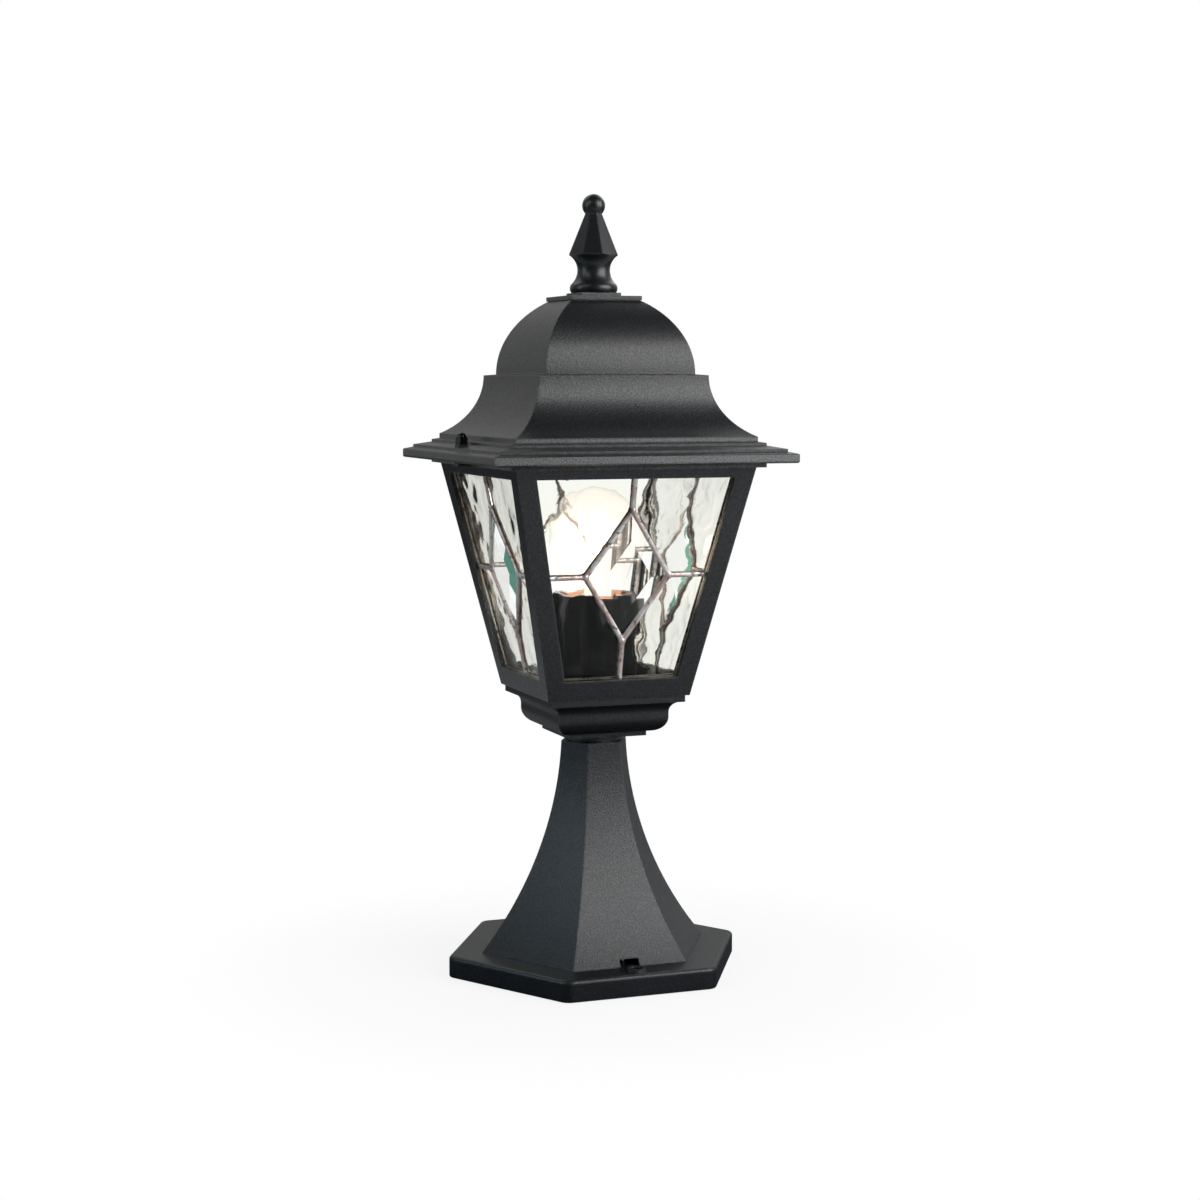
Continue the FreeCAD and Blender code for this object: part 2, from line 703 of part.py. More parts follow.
def glass_clips():
    """Flat clips, two to a pane, across the boss and the pane's edge."""
    clips = []
    inner_face = pane_back - CLIP_THICKNESS
    bore = CLIP_SCREW + 2 * HOLE_CLEARANCE
    for index in range(len(SIDES)):
        for seat in clip_seats:
            low, high = clip_span(seat)
            clip = Part.makeBox(CLIP_WIDTH, high - low, CLIP_THICKNESS)
            clip.translate(Vector(-CLIP_WIDTH / 2, low, inner_face))
            hole = cylinder(bore, inner_face, pane_back, Vector(0, seat, 0))
            clips.append(on_side(clip.cut(hole), index))
    return Part.makeCompound(clips)


def clip_screws():
    """Pan head screws of the clips."""
    screws = []
    seat_plane = pane_back - CLIP_THICKNESS
    for index in range(len(SIDES)):
        for seat in clip_seats:
            spot = Vector(0, seat, 0)
            head = cylinder(CLIP_SCREW_HEAD, seat_plane - CLIP_SCREW_HEAD_HEIGHT, seat_plane, spot)
            shank = cylinder(CLIP_SCREW, seat_plane, -BODY_WALL - HOLE_CLEARANCE, spot)
            screws.append(on_side(head.fuse(shank).removeSplitter(), index))
    return Part.makeCompound(screws)


def roof_section():
    """Outer half section of the roof: stepped brim, flared skirt, dome and cap."""
    edge = BRIM_EDGE_ROUND
    outer = Outline(0, cage_top).line(brim_half - edge, cage_top)
    outer.arc(brim_half, cage_top + edge, edge, RIGHT)
    outer.line(brim_half, fascia_top - edge).arc(brim_half - edge, fascia_top, edge, RIGHT)
    outer.line(ring_half, ring_base).line(ring_half, ring_top)
    outer.line(ledge_half, ledge_end).line(ledge_half, foot_base).line(foot_half, foot_low)
    outer.line(foot_half, foot_top)
    outer.arc(skirt_half, skirt_top, upright_arc_radius(SKIRT_RUN, SKIRT_HEIGHT), LEFT)
    outer.line(dome_half, dome_base)
    outer.arc(dome_end_half, dome_top, upright_arc_radius(DOME_RUN, DOME_HEIGHT), RIGHT)
    cap_half = dome_end_half + CAP_LAP
    outer.line(cap_half, dome_top).line(cap_half, cap_top).line(SEAT_WIDTH / 2, cap_top)
    return outer.line(SEAT_WIDTH / 2, seat_top).line(0, seat_top)


def roof_hollow():
    """Inner half section of the roof, a wall behind the outer one."""
    skirt_ceiling = skirt_top - ROOF_WALL
    inner = Outline(0, cage_top).line(mouth_half, cage_top).line(mouth_half, foot_top)
    radius = upright_arc_radius(SKIRT_RUN, skirt_ceiling - foot_top)
    inner.arc(skirt_half - ROOF_WALL, skirt_ceiling, radius, LEFT)
    inner.line(dome_half - ROOF_WALL, skirt_ceiling)
    radius = upright_arc_radius(DOME_RUN - ROOF_WALL, roof_ceiling - skirt_ceiling)
    return inner.arc(dome_end_half, roof_ceiling, radius, RIGHT).line(0, roof_ceiling)


def brim_groove():
    """Space under the brim between its lip and the land that rests on the body's flange."""
    lip_half = brim_half - BRIM_LIP
    land_half = flange_half + BRIM_LAND
    groove_low = fascia_top - BRIM_SKIN
    groove_high = groove_low + BRIM_SLOPE * (lip_half - land_half)
    space = Outline(0, cage_top).line(lip_half, cage_top).line(lip_half, groove_low)
    space.line(land_half, groove_high).line(0, groove_high)
    land = Outline(0, cage_top).line(land_half, cage_top)
    land.line(land_half, groove_high).line(0, groove_high)
    return mitred(space, 4).cut(mitred(land, 4))


def roof():
    """Roof casting with a boss for each stud."""
    shell = mitred(roof_section(), 4).cut(mitred(roof_hollow(), 4)).cut(brim_groove())
    bosses = []
    holes = [cylinder(FINIAL_STUD + 2 * HOLE_CLEARANCE, roof_ceiling, seat_top)]
    for direction in (-1, 1):
        spot = Vector(direction * stud_offset, 0, 0)
        bosses.append(cylinder(STUD_PAD, cage_top, stud_seat, spot))
        holes.append(cylinder(STUD_DIAMETER + 2 * HOLE_CLEARANCE, cage_top, stud_seat, spot))
    return shell.fuse(bosses).cut(holes).removeSplitter()


def roof_studs():
    """Studs that rise from the body's lugs through the brim."""
    low = cage_top - FLANGE_THICKNESS
    high = stud_seat + ROOF_NUT_HEIGHT
    spots = [Vector(direction * stud_offset, 0, 0) for direction in (-1, 1)]
    return Part.makeCompound([cylinder(STUD_DIAMETER, low, high, spot) for spot in spots])


def roof_nuts():
    """Dome nuts on the studs."""
    nuts = []
    top = stud_seat + ROOF_NUT_HEIGHT
    for direction in (-1, 1):
        spot = Vector(direction * stud_offset, 0, 0)
        nut = hexagon(ROOF_NUT_FLATS, stud_seat, top, spot)
        dome = Part.makeSphere(ROOF_NUT_DOME / 2, spot + UP * top)
        hole = cylinder(STUD_DIAMETER + 2 * THREAD_CLEARANCE, stud_seat, top, spot)
        nuts.append(nut.fuse(dome).cut(hole).removeSplitter())
    return Part.makeCompound(nuts)


def finial():
    """Cast finial: turned foot, eight sided spire with a scalloped lower edge, and a ball."""
    base_top = seat_top + FINIAL_BASE_HEIGHT
    neck_level = base_top + FINIAL_NECK_RISE
    spire_level = neck_level + SPIRE_RISE
    spire_end = spire_level + SPIRE_HEIGHT
    neck = FINIAL_NECK / 2
    rim = FINIAL_BASE / 2 - FINIAL_BASE_BULGE
    edge_radius = upright_arc_radius(FINIAL_BASE_BULGE, FINIAL_BASE_HEIGHT / 2)
    foot_radius = upright_arc_radius(rim - neck, FINIAL_NECK_RISE)
    foot = Outline(0, seat_top).line(rim, seat_top).arc(rim, base_top, edge_radius, RIGHT)
    foot.arc(neck, neck_level, foot_radius, LEFT).line(0, neck_level)
    widest = SPIRE_WIDTH / 2
    bell = Outline(0, neck_level).line(neck, neck_level)
    bell.arc(widest, spire_level, upright_arc_radius(widest - neck, SPIRE_RISE), LEFT)
    bell.line(widest, spire_end).line(0, spire_end)
    slope = (SPIRE_WIDTH - SPIRE_TOP) / 2 / SPIRE_HEIGHT
    low_corner = widest + slope * SPIRE_RISE
    wires = []
    for corner, level in ((low_corner, neck_level), (SPIRE_TOP / 2, spire_end)):
        points = [around(corner, 90 + 360 / SPIRE_SIDES * index) + UP * level for index in range(SPIRE_SIDES)]
        wires.append(Part.makePolygon(points + points[:1]))
    spire = Part.makeLoft(wires, True, True).common(turned(bell))
    ball_radius = FINIAL_BALL / 2
    ball_level = spire_end + math.sqrt(ball_radius ** 2 - (SPIRE_TOP / 2) ** 2)
    ball = Part.makeSphere(ball_radius, UP * ball_level)
    hole_end = seat_top + FINIAL_STUD_GRIP + HOLE_CLEARANCE
    hole = cylinder(FINIAL_STUD + 2 * THREAD_CLEARANCE, seat_top, hole_end)
    return turned(foot).fuse([spire, ball]).cut(hole).removeSplitter()


def finial_washer():
    """Flat washer under the roof's crown."""
    bore = FINIAL_STUD + 2 * HOLE_CLEARANCE
    return ring(FINIAL_WASHER, bore, roof_ceiling - FINIAL_WASHER_THICKNESS, roof_ceiling)


def finial_nut():
    """Nut that pulls the finial down on the roof."""
    high = roof_ceiling - FINIAL_WASHER_THICKNESS
    low = high - FINIAL_NUT_HEIGHT
    bore = cylinder(FINIAL_STUD + 2 * THREAD_CLEARANCE, low, high)
    return hexagon(FINIAL_NUT_FLATS, low, high).cut(bore)


def finial_stud():
    """Threaded stud from the finial down through the roof."""
    low = roof_ceiling - FINIAL_WASHER_THICKNESS - FINIAL_NUT_HEIGHT - FINIAL_STUD_TAIL
    return cylinder(FINIAL_STUD, low, seat_top + FINIAL_STUD_GRIP)


def lampholder_base():
    """Flanged plug, screwed on the tube, that carries the cover and the core."""
    plug = HOLDER_WIDTH - 2 * COVER_WALL - 2 * SLIDE_CLEARANCE
    base = cylinder(HOLDER_WIDTH, holder_base, holder_flange_top)
    base = base.fuse(cylinder(plug, holder_flange_top, core_base))
    tube_seat = cylinder(TUBE_DIAMETER + 2 * THREAD_CLEARANCE, holder_base, tube_top)
    lead_hole = cylinder(HOLDER_LEAD_HOLE, tube_top, core_base)
    return base.cut([tube_seat, lead_hole]).removeSplitter()


def lampholder_cover():
    """Sleeve over the core, with a mouth for the bulb."""
    outer = HOLDER_WIDTH / 2
    inner = outer - COVER_WALL
    top = holder_flange_top + COVER_HEIGHT
    edge = COVER_WALL / 2
    outline = Outline(inner, holder_flange_top).line(outer, holder_flange_top).line(outer, top - edge)
    outline.arc(outer - edge, top, edge, RIGHT).line(COVER_MOUTH / 2, top)
    outline.line(COVER_MOUTH / 2, top - COVER_WALL).line(inner, top - COVER_WALL)
    return turned(outline)


def lampholder_core():
    """Porcelain insert with a well for the bulb's cap and a chamber for the leads."""
    top = core_base + CORE_HEIGHT
    core = cylinder(CORE_WIDTH, core_base, top)
    chamber = cylinder(CORE_CHAMBER, core_base, core_base + CORE_CHAMBER_HEIGHT)
    well = cylinder(SHELL_WIDTH + 2 * SLIDE_CLEARANCE, well_floor, top)
    rivet_hole = cylinder(CONTACT_RIVET + 2 * SLIDE_CLEARANCE, core_base, well_floor)
    return core.cut([chamber, well, rivet_hole])


def lampholder_shell():
    """Brass screw shell in the well."""
    return ring(SHELL_WIDTH, SHELL_WIDTH - 2 * SHELL_THICKNESS, well_floor, well_floor + SHELL_HEIGHT)


def lampholder_contact():
    """Centre contact, riveted through the floor of the well."""
    rivet = CONTACT_RIVET / 2
    low = core_base + CORE_CHAMBER_HEIGHT - CONTACT_THICKNESS
    disc = CONTACT_WIDTH / 2
    outline = Outline(0, low).line(rivet, low).line(rivet, well_floor).line(disc, well_floor)
    outline.line(disc, well_floor + CONTACT_THICKNESS).line(CONTACT_TIP / 2, bulb_base)
    outline.line(0, bulb_base)
    return turned(outline)


def bulb():
    """Pear shaped bulb with its screw cap, sealed."""
    cap = BULB_CAP / 2
    cap_low = bulb_base + BULB_CONE_HEIGHT
    cap_high = bulb_base + BULB_CAP_HEIGHT
    neck_level = cap_high + BULB_NECK_RISE
    neck = BULB_NECK / 2
    radius = BULB_WIDTH / 2
    centre = bulb_base + BULB_LENGTH - radius
    reach = math.hypot(neck, centre - neck_level)
    turn = math.atan2(neck_level - centre, neck) + math.acos(radius / reach)
    outline = Outline(0, bulb_base).line(BULB_TIP / 2, bulb_base)
    outline.line(BULB_TIP / 2, bulb_base + BULB_TIP_HEIGHT).line(cap, cap_low).line(cap, cap_high)
    outline.line(neck, neck_level).line(radius * math.cos(turn), centre + radius * math.sin(turn))
    outline.arc(0, centre + radius, radius, RIGHT)
    return turned(outline)


def block_ports():
    """U places of the terminal block's ways."""
    pitch = BLOCK_LENGTH / BLOCK_WAYS
    return [pitch * (index - (BLOCK_WAYS - 1) / 2) for index in range(BLOCK_WAYS)]


def block_screw_spots():
    """Two clamping screws for each way of the block."""
    rows = (-BLOCK_SETBACK - BLOCK_SCREW_INSET, -BLOCK_SETBACK - BLOCK_DEPTH + BLOCK_SCREW_INSET)
    return [Vector(across, row, 0) for across in block_ports() for row in rows]


def terminal_block():
    """Three way terminal block on the deck, in front of the cable entry."""
    low = plate_top
    block = Part.makeBox(BLOCK_LENGTH, BLOCK_DEPTH, BLOCK_HEIGHT)
    block.translate(Vector(-BLOCK_LENGTH / 2, -BLOCK_SETBACK - BLOCK_DEPTH, low))
    holes = []
    for across in block_ports():
        start = Vector(across, -BLOCK_SETBACK - BLOCK_DEPTH, low + PORT_HEIGHT)
        holes.append(Part.makeCylinder(PORT_BORE / 2, BLOCK_DEPTH, start, Vector(0, 1, 0)))
    top = low + BLOCK_HEIGHT
    for spot in block_screw_spots():
        holes.append(cylinder(BLOCK_SCREW + 2 * THREAD_CLEARANCE, top - BLOCK_SCREW_DEPTH, top, spot))
    return block.cut(holes)


def terminal_screws():
    """Clamping screws of the terminal block."""
    top = plate_top + BLOCK_HEIGHT
    return Part.makeCompound([cylinder(BLOCK_SCREW, top - BLOCK_SCREW_DEPTH, top, spot)
                              for spot in block_screw_spots()])


def wire(start, steps):
    """Round wire along straight runs and arcs; a step is an end point, after a middle point for an arc."""
    edges = []
    here = start
    for middle, there in steps:
        if middle is None:
            edges.append(Part.LineSegment(here, there).toShape())
        else:
            edges.append(Part.Arc(here, middle, there).toShape())
        here = there
    path = Part.Wire(edges)
    way = edges[0].tangentAt(edges[0].FirstParameter)
    rim = Part.Wire(Part.Circle(start, way, LEAD_WIRE / 2).toShape())
    return path.makePipeShell([rim], True, True)


def supply_lead(hand):
    """Lead from the block's inner side, up the column and through the tube to the lampholder."""
    across = hand * block_ports()[-1]
    level = plate_top + PORT_HEIGHT
    start = Vector(across, -BLOCK_SETBACK - WIRE_GRIP, level)
    bend_start = Vector(across, -WIRE_BEND, level)
    bend_end = Vector(across, 0, level + WIRE_BEND)
    slack = WIRE_BEND * (1 - math.sqrt(0.5))
    bend_middle = Vector(across, -slack, level + slack)
    swing_start = Vector(across, 0, level + WIRE_BEND + WIRE_TURN_IN)
    inward = hand * WIRE_SPACING / 2
    swing_end = Vector(inward, 0, swing_start.z + WIRE_SWING)
    halfway = (swing_start + swing_end) * 0.5
    radius = ((across - inward) ** 2 + WIRE_SWING ** 2) / (4 * abs(across - inward))
    quarter = math.asin(WIRE_SWING / 2 / radius) / 2
    lean = hand * radius * (1 - math.cos(quarter))
    rise = UP * (radius * math.sin(quarter))
    first_middle = swing_start + rise - X_AXIS * lean
    last_middle = swing_end - rise + X_AXIS * lean
    end = Vector(inward, 0, core_base + CORE_CHAMBER_HEIGHT - CONTACT_THICKNESS)
    steps = [(None, bend_start), (bend_middle, bend_end), (None, swing_start),
             (first_middle, halfway), (last_middle, swing_end), (None, end)]
    return wire(start, steps)


def earth_screw_place():
    """Y of the earth screw, beyond the end of the earth lead."""
    return -BLOCK_SETBACK - BLOCK_DEPTH - EARTH_RUN - EARTH_BEND - TAG_REACH


def earth_lead():
    """Short lead from the block's outer side down to the earth tag."""
    level = plate_top + PORT_HEIGHT
    outer_side = -BLOCK_SETBACK - BLOCK_DEPTH
    start = Vector(0, outer_side + WIRE_GRIP, level)
    bend_start = Vector(0, outer_side - EARTH_RUN, level)
    bend_end = Vector(0, bend_start.y - EARTH_BEND, level - EARTH_BEND)
    slack = EARTH_BEND * (1 - math.sqrt(0.5))
    bend_middle = Vector(0, bend_end.y + slack, level - slack)
    end = Vector(0, bend_end.y, plate_top + TAG_THICKNESS)
    return wire(start, [(None, bend_start), (bend_middle, bend_end), (None, end)])


def earth_tag():
    """Flat ring tag that joins the earth lead to the plate."""
    spot = Vector(0, earth_screw_place(), 0)
    top = plate_top + TAG_THICKNESS
    tongue = Part.makeBox(TAG_TONGUE, TAG_REACH + LEAD_WIRE, TAG_THICKNESS)
    tongue.translate(Vector(-TAG_TONGUE / 2, spot.y, plate_top))
    eye = cylinder(TAG_WIDTH, plate_top, top, spot)
    hole = cylinder(EARTH_SCREW + 2 * HOLE_CLEARANCE, plate_top, top, spot)
    return eye.fuse(tongue).cut(hole).removeSplitter()


def earth_screw():
    """Screw that holds the earth tag on the deck."""
    spot = Vector(0, earth_screw_place(), 0)
    seat = plate_top + TAG_THICKNESS
    head = cylinder(EARTH_SCREW_HEAD, seat, seat + EARTH_SCREW_HEAD_HEIGHT, spot)
    head = head.makeFillet(EARTH_SCREW_HEAD_ROUND, edges_level(head, seat + EARTH_SCREW_HEAD_HEIGHT))
    return head.fuse(cylinder(EARTH_SCREW, deck_under, seat, spot)).removeSplitter()


def panes():
    """Leadwork and glass of all four sides, by name."""
    pieces = {"leadwork": leadwork()}
    pieces.update(pane_glass())
    return {f"{side}_{name}": on_side(piece, index)
            for index, side in enumerate(SIDES) for name, piece in pieces.items()}


def write(name, shape):
    """Saves one piece."""
    shape.exportStep(f"parts/{name}.step")


PIECES = (base_plate, cable_grommet, pedestal_column, column_screws, neck_collar,
          threaded_tube, tube_washers, tube_nuts, lantern_body, glass_clips, clip_screws,
          roof, roof_studs, roof_nuts, finial, finial_stud, finial_washer, finial_nut,
          lampholder_base, lampholder_cover, lampholder_core, lampholder_shell, lampholder_contact,
          bulb, terminal_block, terminal_screws, earth_lead, earth_tag, earth_screw)

os.makedirs("parts", exist_ok=True)
for piece in PIECES:
    write(piece.__name__, piece())
write("live_lead", supply_lead(-1))
write("neutral_lead", supply_lead(1))
for name, shape in panes().items():
    write(name, shape)
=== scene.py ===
"""Looks of a pedestal lantern: black powder coat, leaded water glass, solder and a lit bulb."""

import logging
import math
from collections.abc import Callable, Iterator, Sequence
from contextlib import contextmanager
from dataclasses import dataclass
from enum import Enum

import bpy
from mathutils import Matrix, Vector


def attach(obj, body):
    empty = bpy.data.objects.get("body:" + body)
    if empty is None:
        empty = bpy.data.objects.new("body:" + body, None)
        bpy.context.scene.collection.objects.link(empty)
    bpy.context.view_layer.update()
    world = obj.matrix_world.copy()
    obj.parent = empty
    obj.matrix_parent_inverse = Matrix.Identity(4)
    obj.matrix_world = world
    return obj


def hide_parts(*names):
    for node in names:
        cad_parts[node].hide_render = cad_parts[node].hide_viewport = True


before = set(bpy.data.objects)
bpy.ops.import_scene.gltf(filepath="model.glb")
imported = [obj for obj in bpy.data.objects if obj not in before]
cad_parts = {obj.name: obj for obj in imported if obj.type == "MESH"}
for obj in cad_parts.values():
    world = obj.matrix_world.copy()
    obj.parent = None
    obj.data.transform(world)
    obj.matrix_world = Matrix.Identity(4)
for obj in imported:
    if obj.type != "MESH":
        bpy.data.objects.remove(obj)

LOG = logging.getLogger("lantern")
MM = 0.001
Colour = tuple[float, float, float]


class Side(Enum):
    """The lantern's sides, numbered anticlockwise from the front as seen from above."""

    FRONT = 0
    RIGHT = 1
    BACK = 2
    LEFT = 3

    @property
    def word(self) -> str:
        """Name of the side in the pieces' names."""
        return self.name.lower()


class Quarter(Enum):
    """The four wavy glasses round a pane's diamond, as signs of across and up."""

    UPPER_LEFT = (-1, 1)
    UPPER_RIGHT = (1, 1)
    LOWER_LEFT = (-1, -1)
    LOWER_RIGHT = (1, -1)

    @property
    def word(self) -> str:
        """Name of the quarter in the pieces' names."""
        return self.name.lower()


class Signal:
    """A value in a finish's node tree that takes Python operators."""

    def __init__(self, recipe: "Recipe", socket: bpy.types.NodeSocket) -> None:
        """Keeps the socket and the recipe that adds nodes behind it."""
        self.recipe = recipe
        self.socket = socket

    def _math(self, operation: str, first: "Operand", second: "Operand") -> "Signal":
        """Adds one Math node."""
        return self.recipe.node("ShaderNodeMath", {"operation": operation}, {0: first, 1: second})

    def __add__(self, other: "Operand") -> "Signal":
        """Sum."""
        return self._math("ADD", self, other)

    def __radd__(self, other: "Operand") -> "Signal":
        """Sum with a number on the left."""
        return self._math("ADD", other, self)

    def __sub__(self, other: "Operand") -> "Signal":
        """Difference."""
        return self._math("SUBTRACT", self, other)

    def __rsub__(self, other: "Operand") -> "Signal":
        """Difference with a number on the left."""
        return self._math("SUBTRACT", other, self)

    def __mul__(self, other: "Operand") -> "Signal":
        """Product."""
        return self._math("MULTIPLY", self, other)

    def __rmul__(self, other: "Operand") -> "Signal":
        """Product with a number on the left."""
        return self._math("MULTIPLY", other, self)

    def highest(self, other: "Operand") -> "Signal":
        """Larger of two values."""
        return self._math("MAXIMUM", self, other)

    def ramp(self, low: float, high: float) -> "Signal":
        """Smooth step from 0 at low to 1 at high.

        Args:
            low: Value that gives 0.
            high: Value that gives 1, which may be the smaller one.

        Returns:
            The stepped value.
        """
        settings = {"interpolation_type": "SMOOTHSTEP"}
        return self.recipe.node("ShaderNodeMapRange", settings, {0: self, 1: low, 2: high})


Operand = Signal | float


class Recipe:
    """The node tree of one finish."""

    def __init__(self, owner: bpy.types.Material | bpy.types.World) -> None:
        """Empties the tree of a material or a world."""
        self.owner = owner
        owner.use_nodes = True
        self.tree = owner.node_tree
        self.tree.nodes.clear()

    @classmethod
    def named(cls, name: str) -> "Recipe":
        """Starts a new material."""
        return cls(bpy.data.materials.new(name))

    def node(self, kind: str, settings: dict | None = None, inputs: dict | None = None,
             output: int | str = 0) -> Signal:
        """Adds any node.

        Args:
            kind: The node's type.
            settings: Its settings, which are set first.
            inputs: Numbers, colours or signals by socket name or number.
            output: Name or number of the output that is wanted.

        Returns:
            The output.
        """
        made = self.tree.nodes.new(kind)
        for key, value in (settings or {}).items():
            setattr(made, key, value)
        for key, value in (inputs or {}).items():
            if isinstance(value, Signal):
                self.tree.links.new(value.socket, made.inputs[key])
            else:
                made.inputs[key].default_value = self._padded(made.inputs[key], value)
        return Signal(self, made.outputs[output])

    @staticmethod
    def _padded(socket: bpy.types.NodeSocket, value: object) -> object:
        """Gives a colour its alpha."""
        if socket.type == "RGBA" and len(value) == 3:
            return (*value, 1.0)
        return value

    def place(self, stretch: Colour = (1.0, 1.0, 1.0)) -> Signal:
        """Object coordinates, stretched along the axes."""
        here = self.node("ShaderNodeTexCoord", output="Object")
        return self.node("ShaderNodeMapping", None, {"Vector": here, "Scale": stretch})

    def height(self) -> Signal:
        """Height above the ground."""
        here = self.node("ShaderNodeTexCoord", output="Object")
        return self.node("ShaderNodeSeparateXYZ", None, {0: here}, "Z")

    def noise(self, grain: float, detail: float = 2.0, stretch: Colour = (1.0, 1.0, 1.0)) -> Signal:
        """Soft noise.

        Args:
            grain: Size of its spots, in millimetres.
            detail: Number of finer layers.
            stretch: How much finer it is along each axis.

        Returns:
            The noise, from 0 to 1.
        """
        inputs = {"Vector": self.place(stretch), "Scale": 1.0 / (grain * MM), "Detail": detail}
        return self.node("ShaderNodeTexNoise", None, inputs, 0)

    def blend(self, share: Operand, first: Signal | Colour, second: Signal | Colour) -> Signal:
        """Mixes two colours: the first at a share of 0, the second at 1."""
        inputs = {0: share, 6: first, 7: second}
        return self.node("ShaderNodeMix", {"data_type": "RGBA"}, inputs, 2)

    def bump(self, height: Signal, rise: float, normal: Signal | None = None) -> Signal:
        """Turns a height into a normal.

        Args:
            height: The height, from 0 to 1.
            rise: The real height of 1, in millimetres.
            normal: The normal below it.

        Returns:
            The normal.
        """
        inputs = {"Strength": 1.0, "Distance": rise * MM, "Height": height}
        if normal is not None:
            inputs["Normal"] = normal
        return self.node("ShaderNodeBump", None, inputs)

    def coat(self, inputs: dict) -> Signal:
        """Adds a principled surface."""
        return self.node("ShaderNodeBsdfPrincipled", None, inputs)

    def finish(self, surface: Signal, volume: Signal | None = None) -> bpy.types.Material | bpy.types.World:
        """Ends the tree.

        Args:
            surface: Shader of the surface, or of the room around.
            volume: Shader of what fills the piece.

        Returns:
            The material or the world.
        """
        in_world = isinstance(self.owner, bpy.types.World)
        made = self.tree.nodes.new("ShaderNodeOutputWorld" if in_world else "ShaderNodeOutputMaterial")
        self.tree.links.new(surface.socket, made.inputs["Surface"])
        if volume is not None:
            self.tree.links.new(volume.socket, made.inputs["Volume"])
        return self.owner


@dataclass(frozen=True)
class PowderCoat:
    """Satin black powder coat on a casting: fine grain over soft waves; pale edges are worn coat and painted
    highlight.

    Sizes are in millimetres. The film thins out below a level, and a draft is a band between two levels that leans
    as a cast wall does and carries a painted highlight on its front.
    """

    name: str = "black_powder_coat"
    dark: Colour = (0.0012, 0.0024, 0.0032)
    pale: Colour = (0.0042, 0.0064, 0.0092)
    edge_colour: Colour = (0.085, 0.087, 0.092)
    sheen: float = 0.5
    gloss: float = 0.3
    film: float = 0.55
    film_gloss: float = 0.28
    speckle: float = 0.36
    grain: float = 1.0
    grain_rise: float = 0.25
    wave: float = 9.0
    wave_rise: float = 0.06
    edge_round: float = 1.8
    thin_below: float = 0.0
    thin_share: float = 0.3
    drafts: tuple[tuple[float, float], ...] = ()
    draft_lean: float = 9.0

    def material(self) -> bpy.types.Material:
        """Builds the finish."""
        recipe = Recipe.named(self.name)
        grain = recipe.noise(self.grain, 3.0)
        wave = recipe.noise(self.wave, 2.0)
        cloud = recipe.noise(self.wave * 6.0, 3.0)
        rounded = recipe.node("ShaderNodeBevel", {"samples": 4}, {"Radius": self.edge_round * MM})
        flat = recipe.node("ShaderNodeNewGeometry", output="Normal")
        facing = recipe.node("ShaderNodeVectorMath", {"operation": "DOT_PRODUCT"}, {0: rounded, 1: flat},
                             "Value")
        # Pale edges: partly coat worn thin, partly painted highlight where edges catch the light.
        worn_and_highlit = facing.ramp(0.995, 0.9) * grain.ramp(0.36, 0.6) * 0.7
        mottle = cloud.ramp(0.3, 0.7) * 0.3 + grain.ramp(0.48, 0.62) * 0.7
        colour = recipe.blend(worn_and_highlit, recipe.blend(mottle, self.dark, self.pale), self.edge_colour)
        normal = rounded
        for low, high in self.drafts:
            level = recipe.height()
            front = recipe.node("ShaderNodeSeparateXYZ", None, {0: flat}, "Y").ramp(-0.6, -0.9)
            rise = (high - low) * math.tan(math.radians(self.draft_lean))
            normal = recipe.bump(level.ramp(high * MM, low * MM), rise, normal)
            # Painted highlight: the front of each draft band is paled as if lit from the front.
            painted_front_highlight = level.ramp(low * MM, (low + 1) * MM) * level.ramp(high * MM, (high - 1) * MM) * front
            colour = recipe.blend(painted_front_highlight * grain.ramp(0.3, 0.62), colour, self.edge_colour)
        normal = recipe.bump(grain, self.grain_rise, recipe.bump(wave, self.wave_rise, normal))
        gloss = self.gloss + grain * 0.14 + cloud * 0.1
        film = self.film * (1 - self.speckle) + grain.ramp(0.4, 0.64) * (self.film * self.speckle * 2)
        if self.thin_below:
            above = recipe.height().ramp((self.thin_below - 2) * MM, self.thin_below * MM)
            film = film * (self.thin_share + above * (1 - self.thin_share))
        return recipe.finish(recipe.coat({"Base Color": colour, "Roughness": gloss, "Normal": normal,
                                          "Specular IOR Level": self.sheen, "Coat Weight": film,
                                          "Coat Roughness": self.film_gloss}))


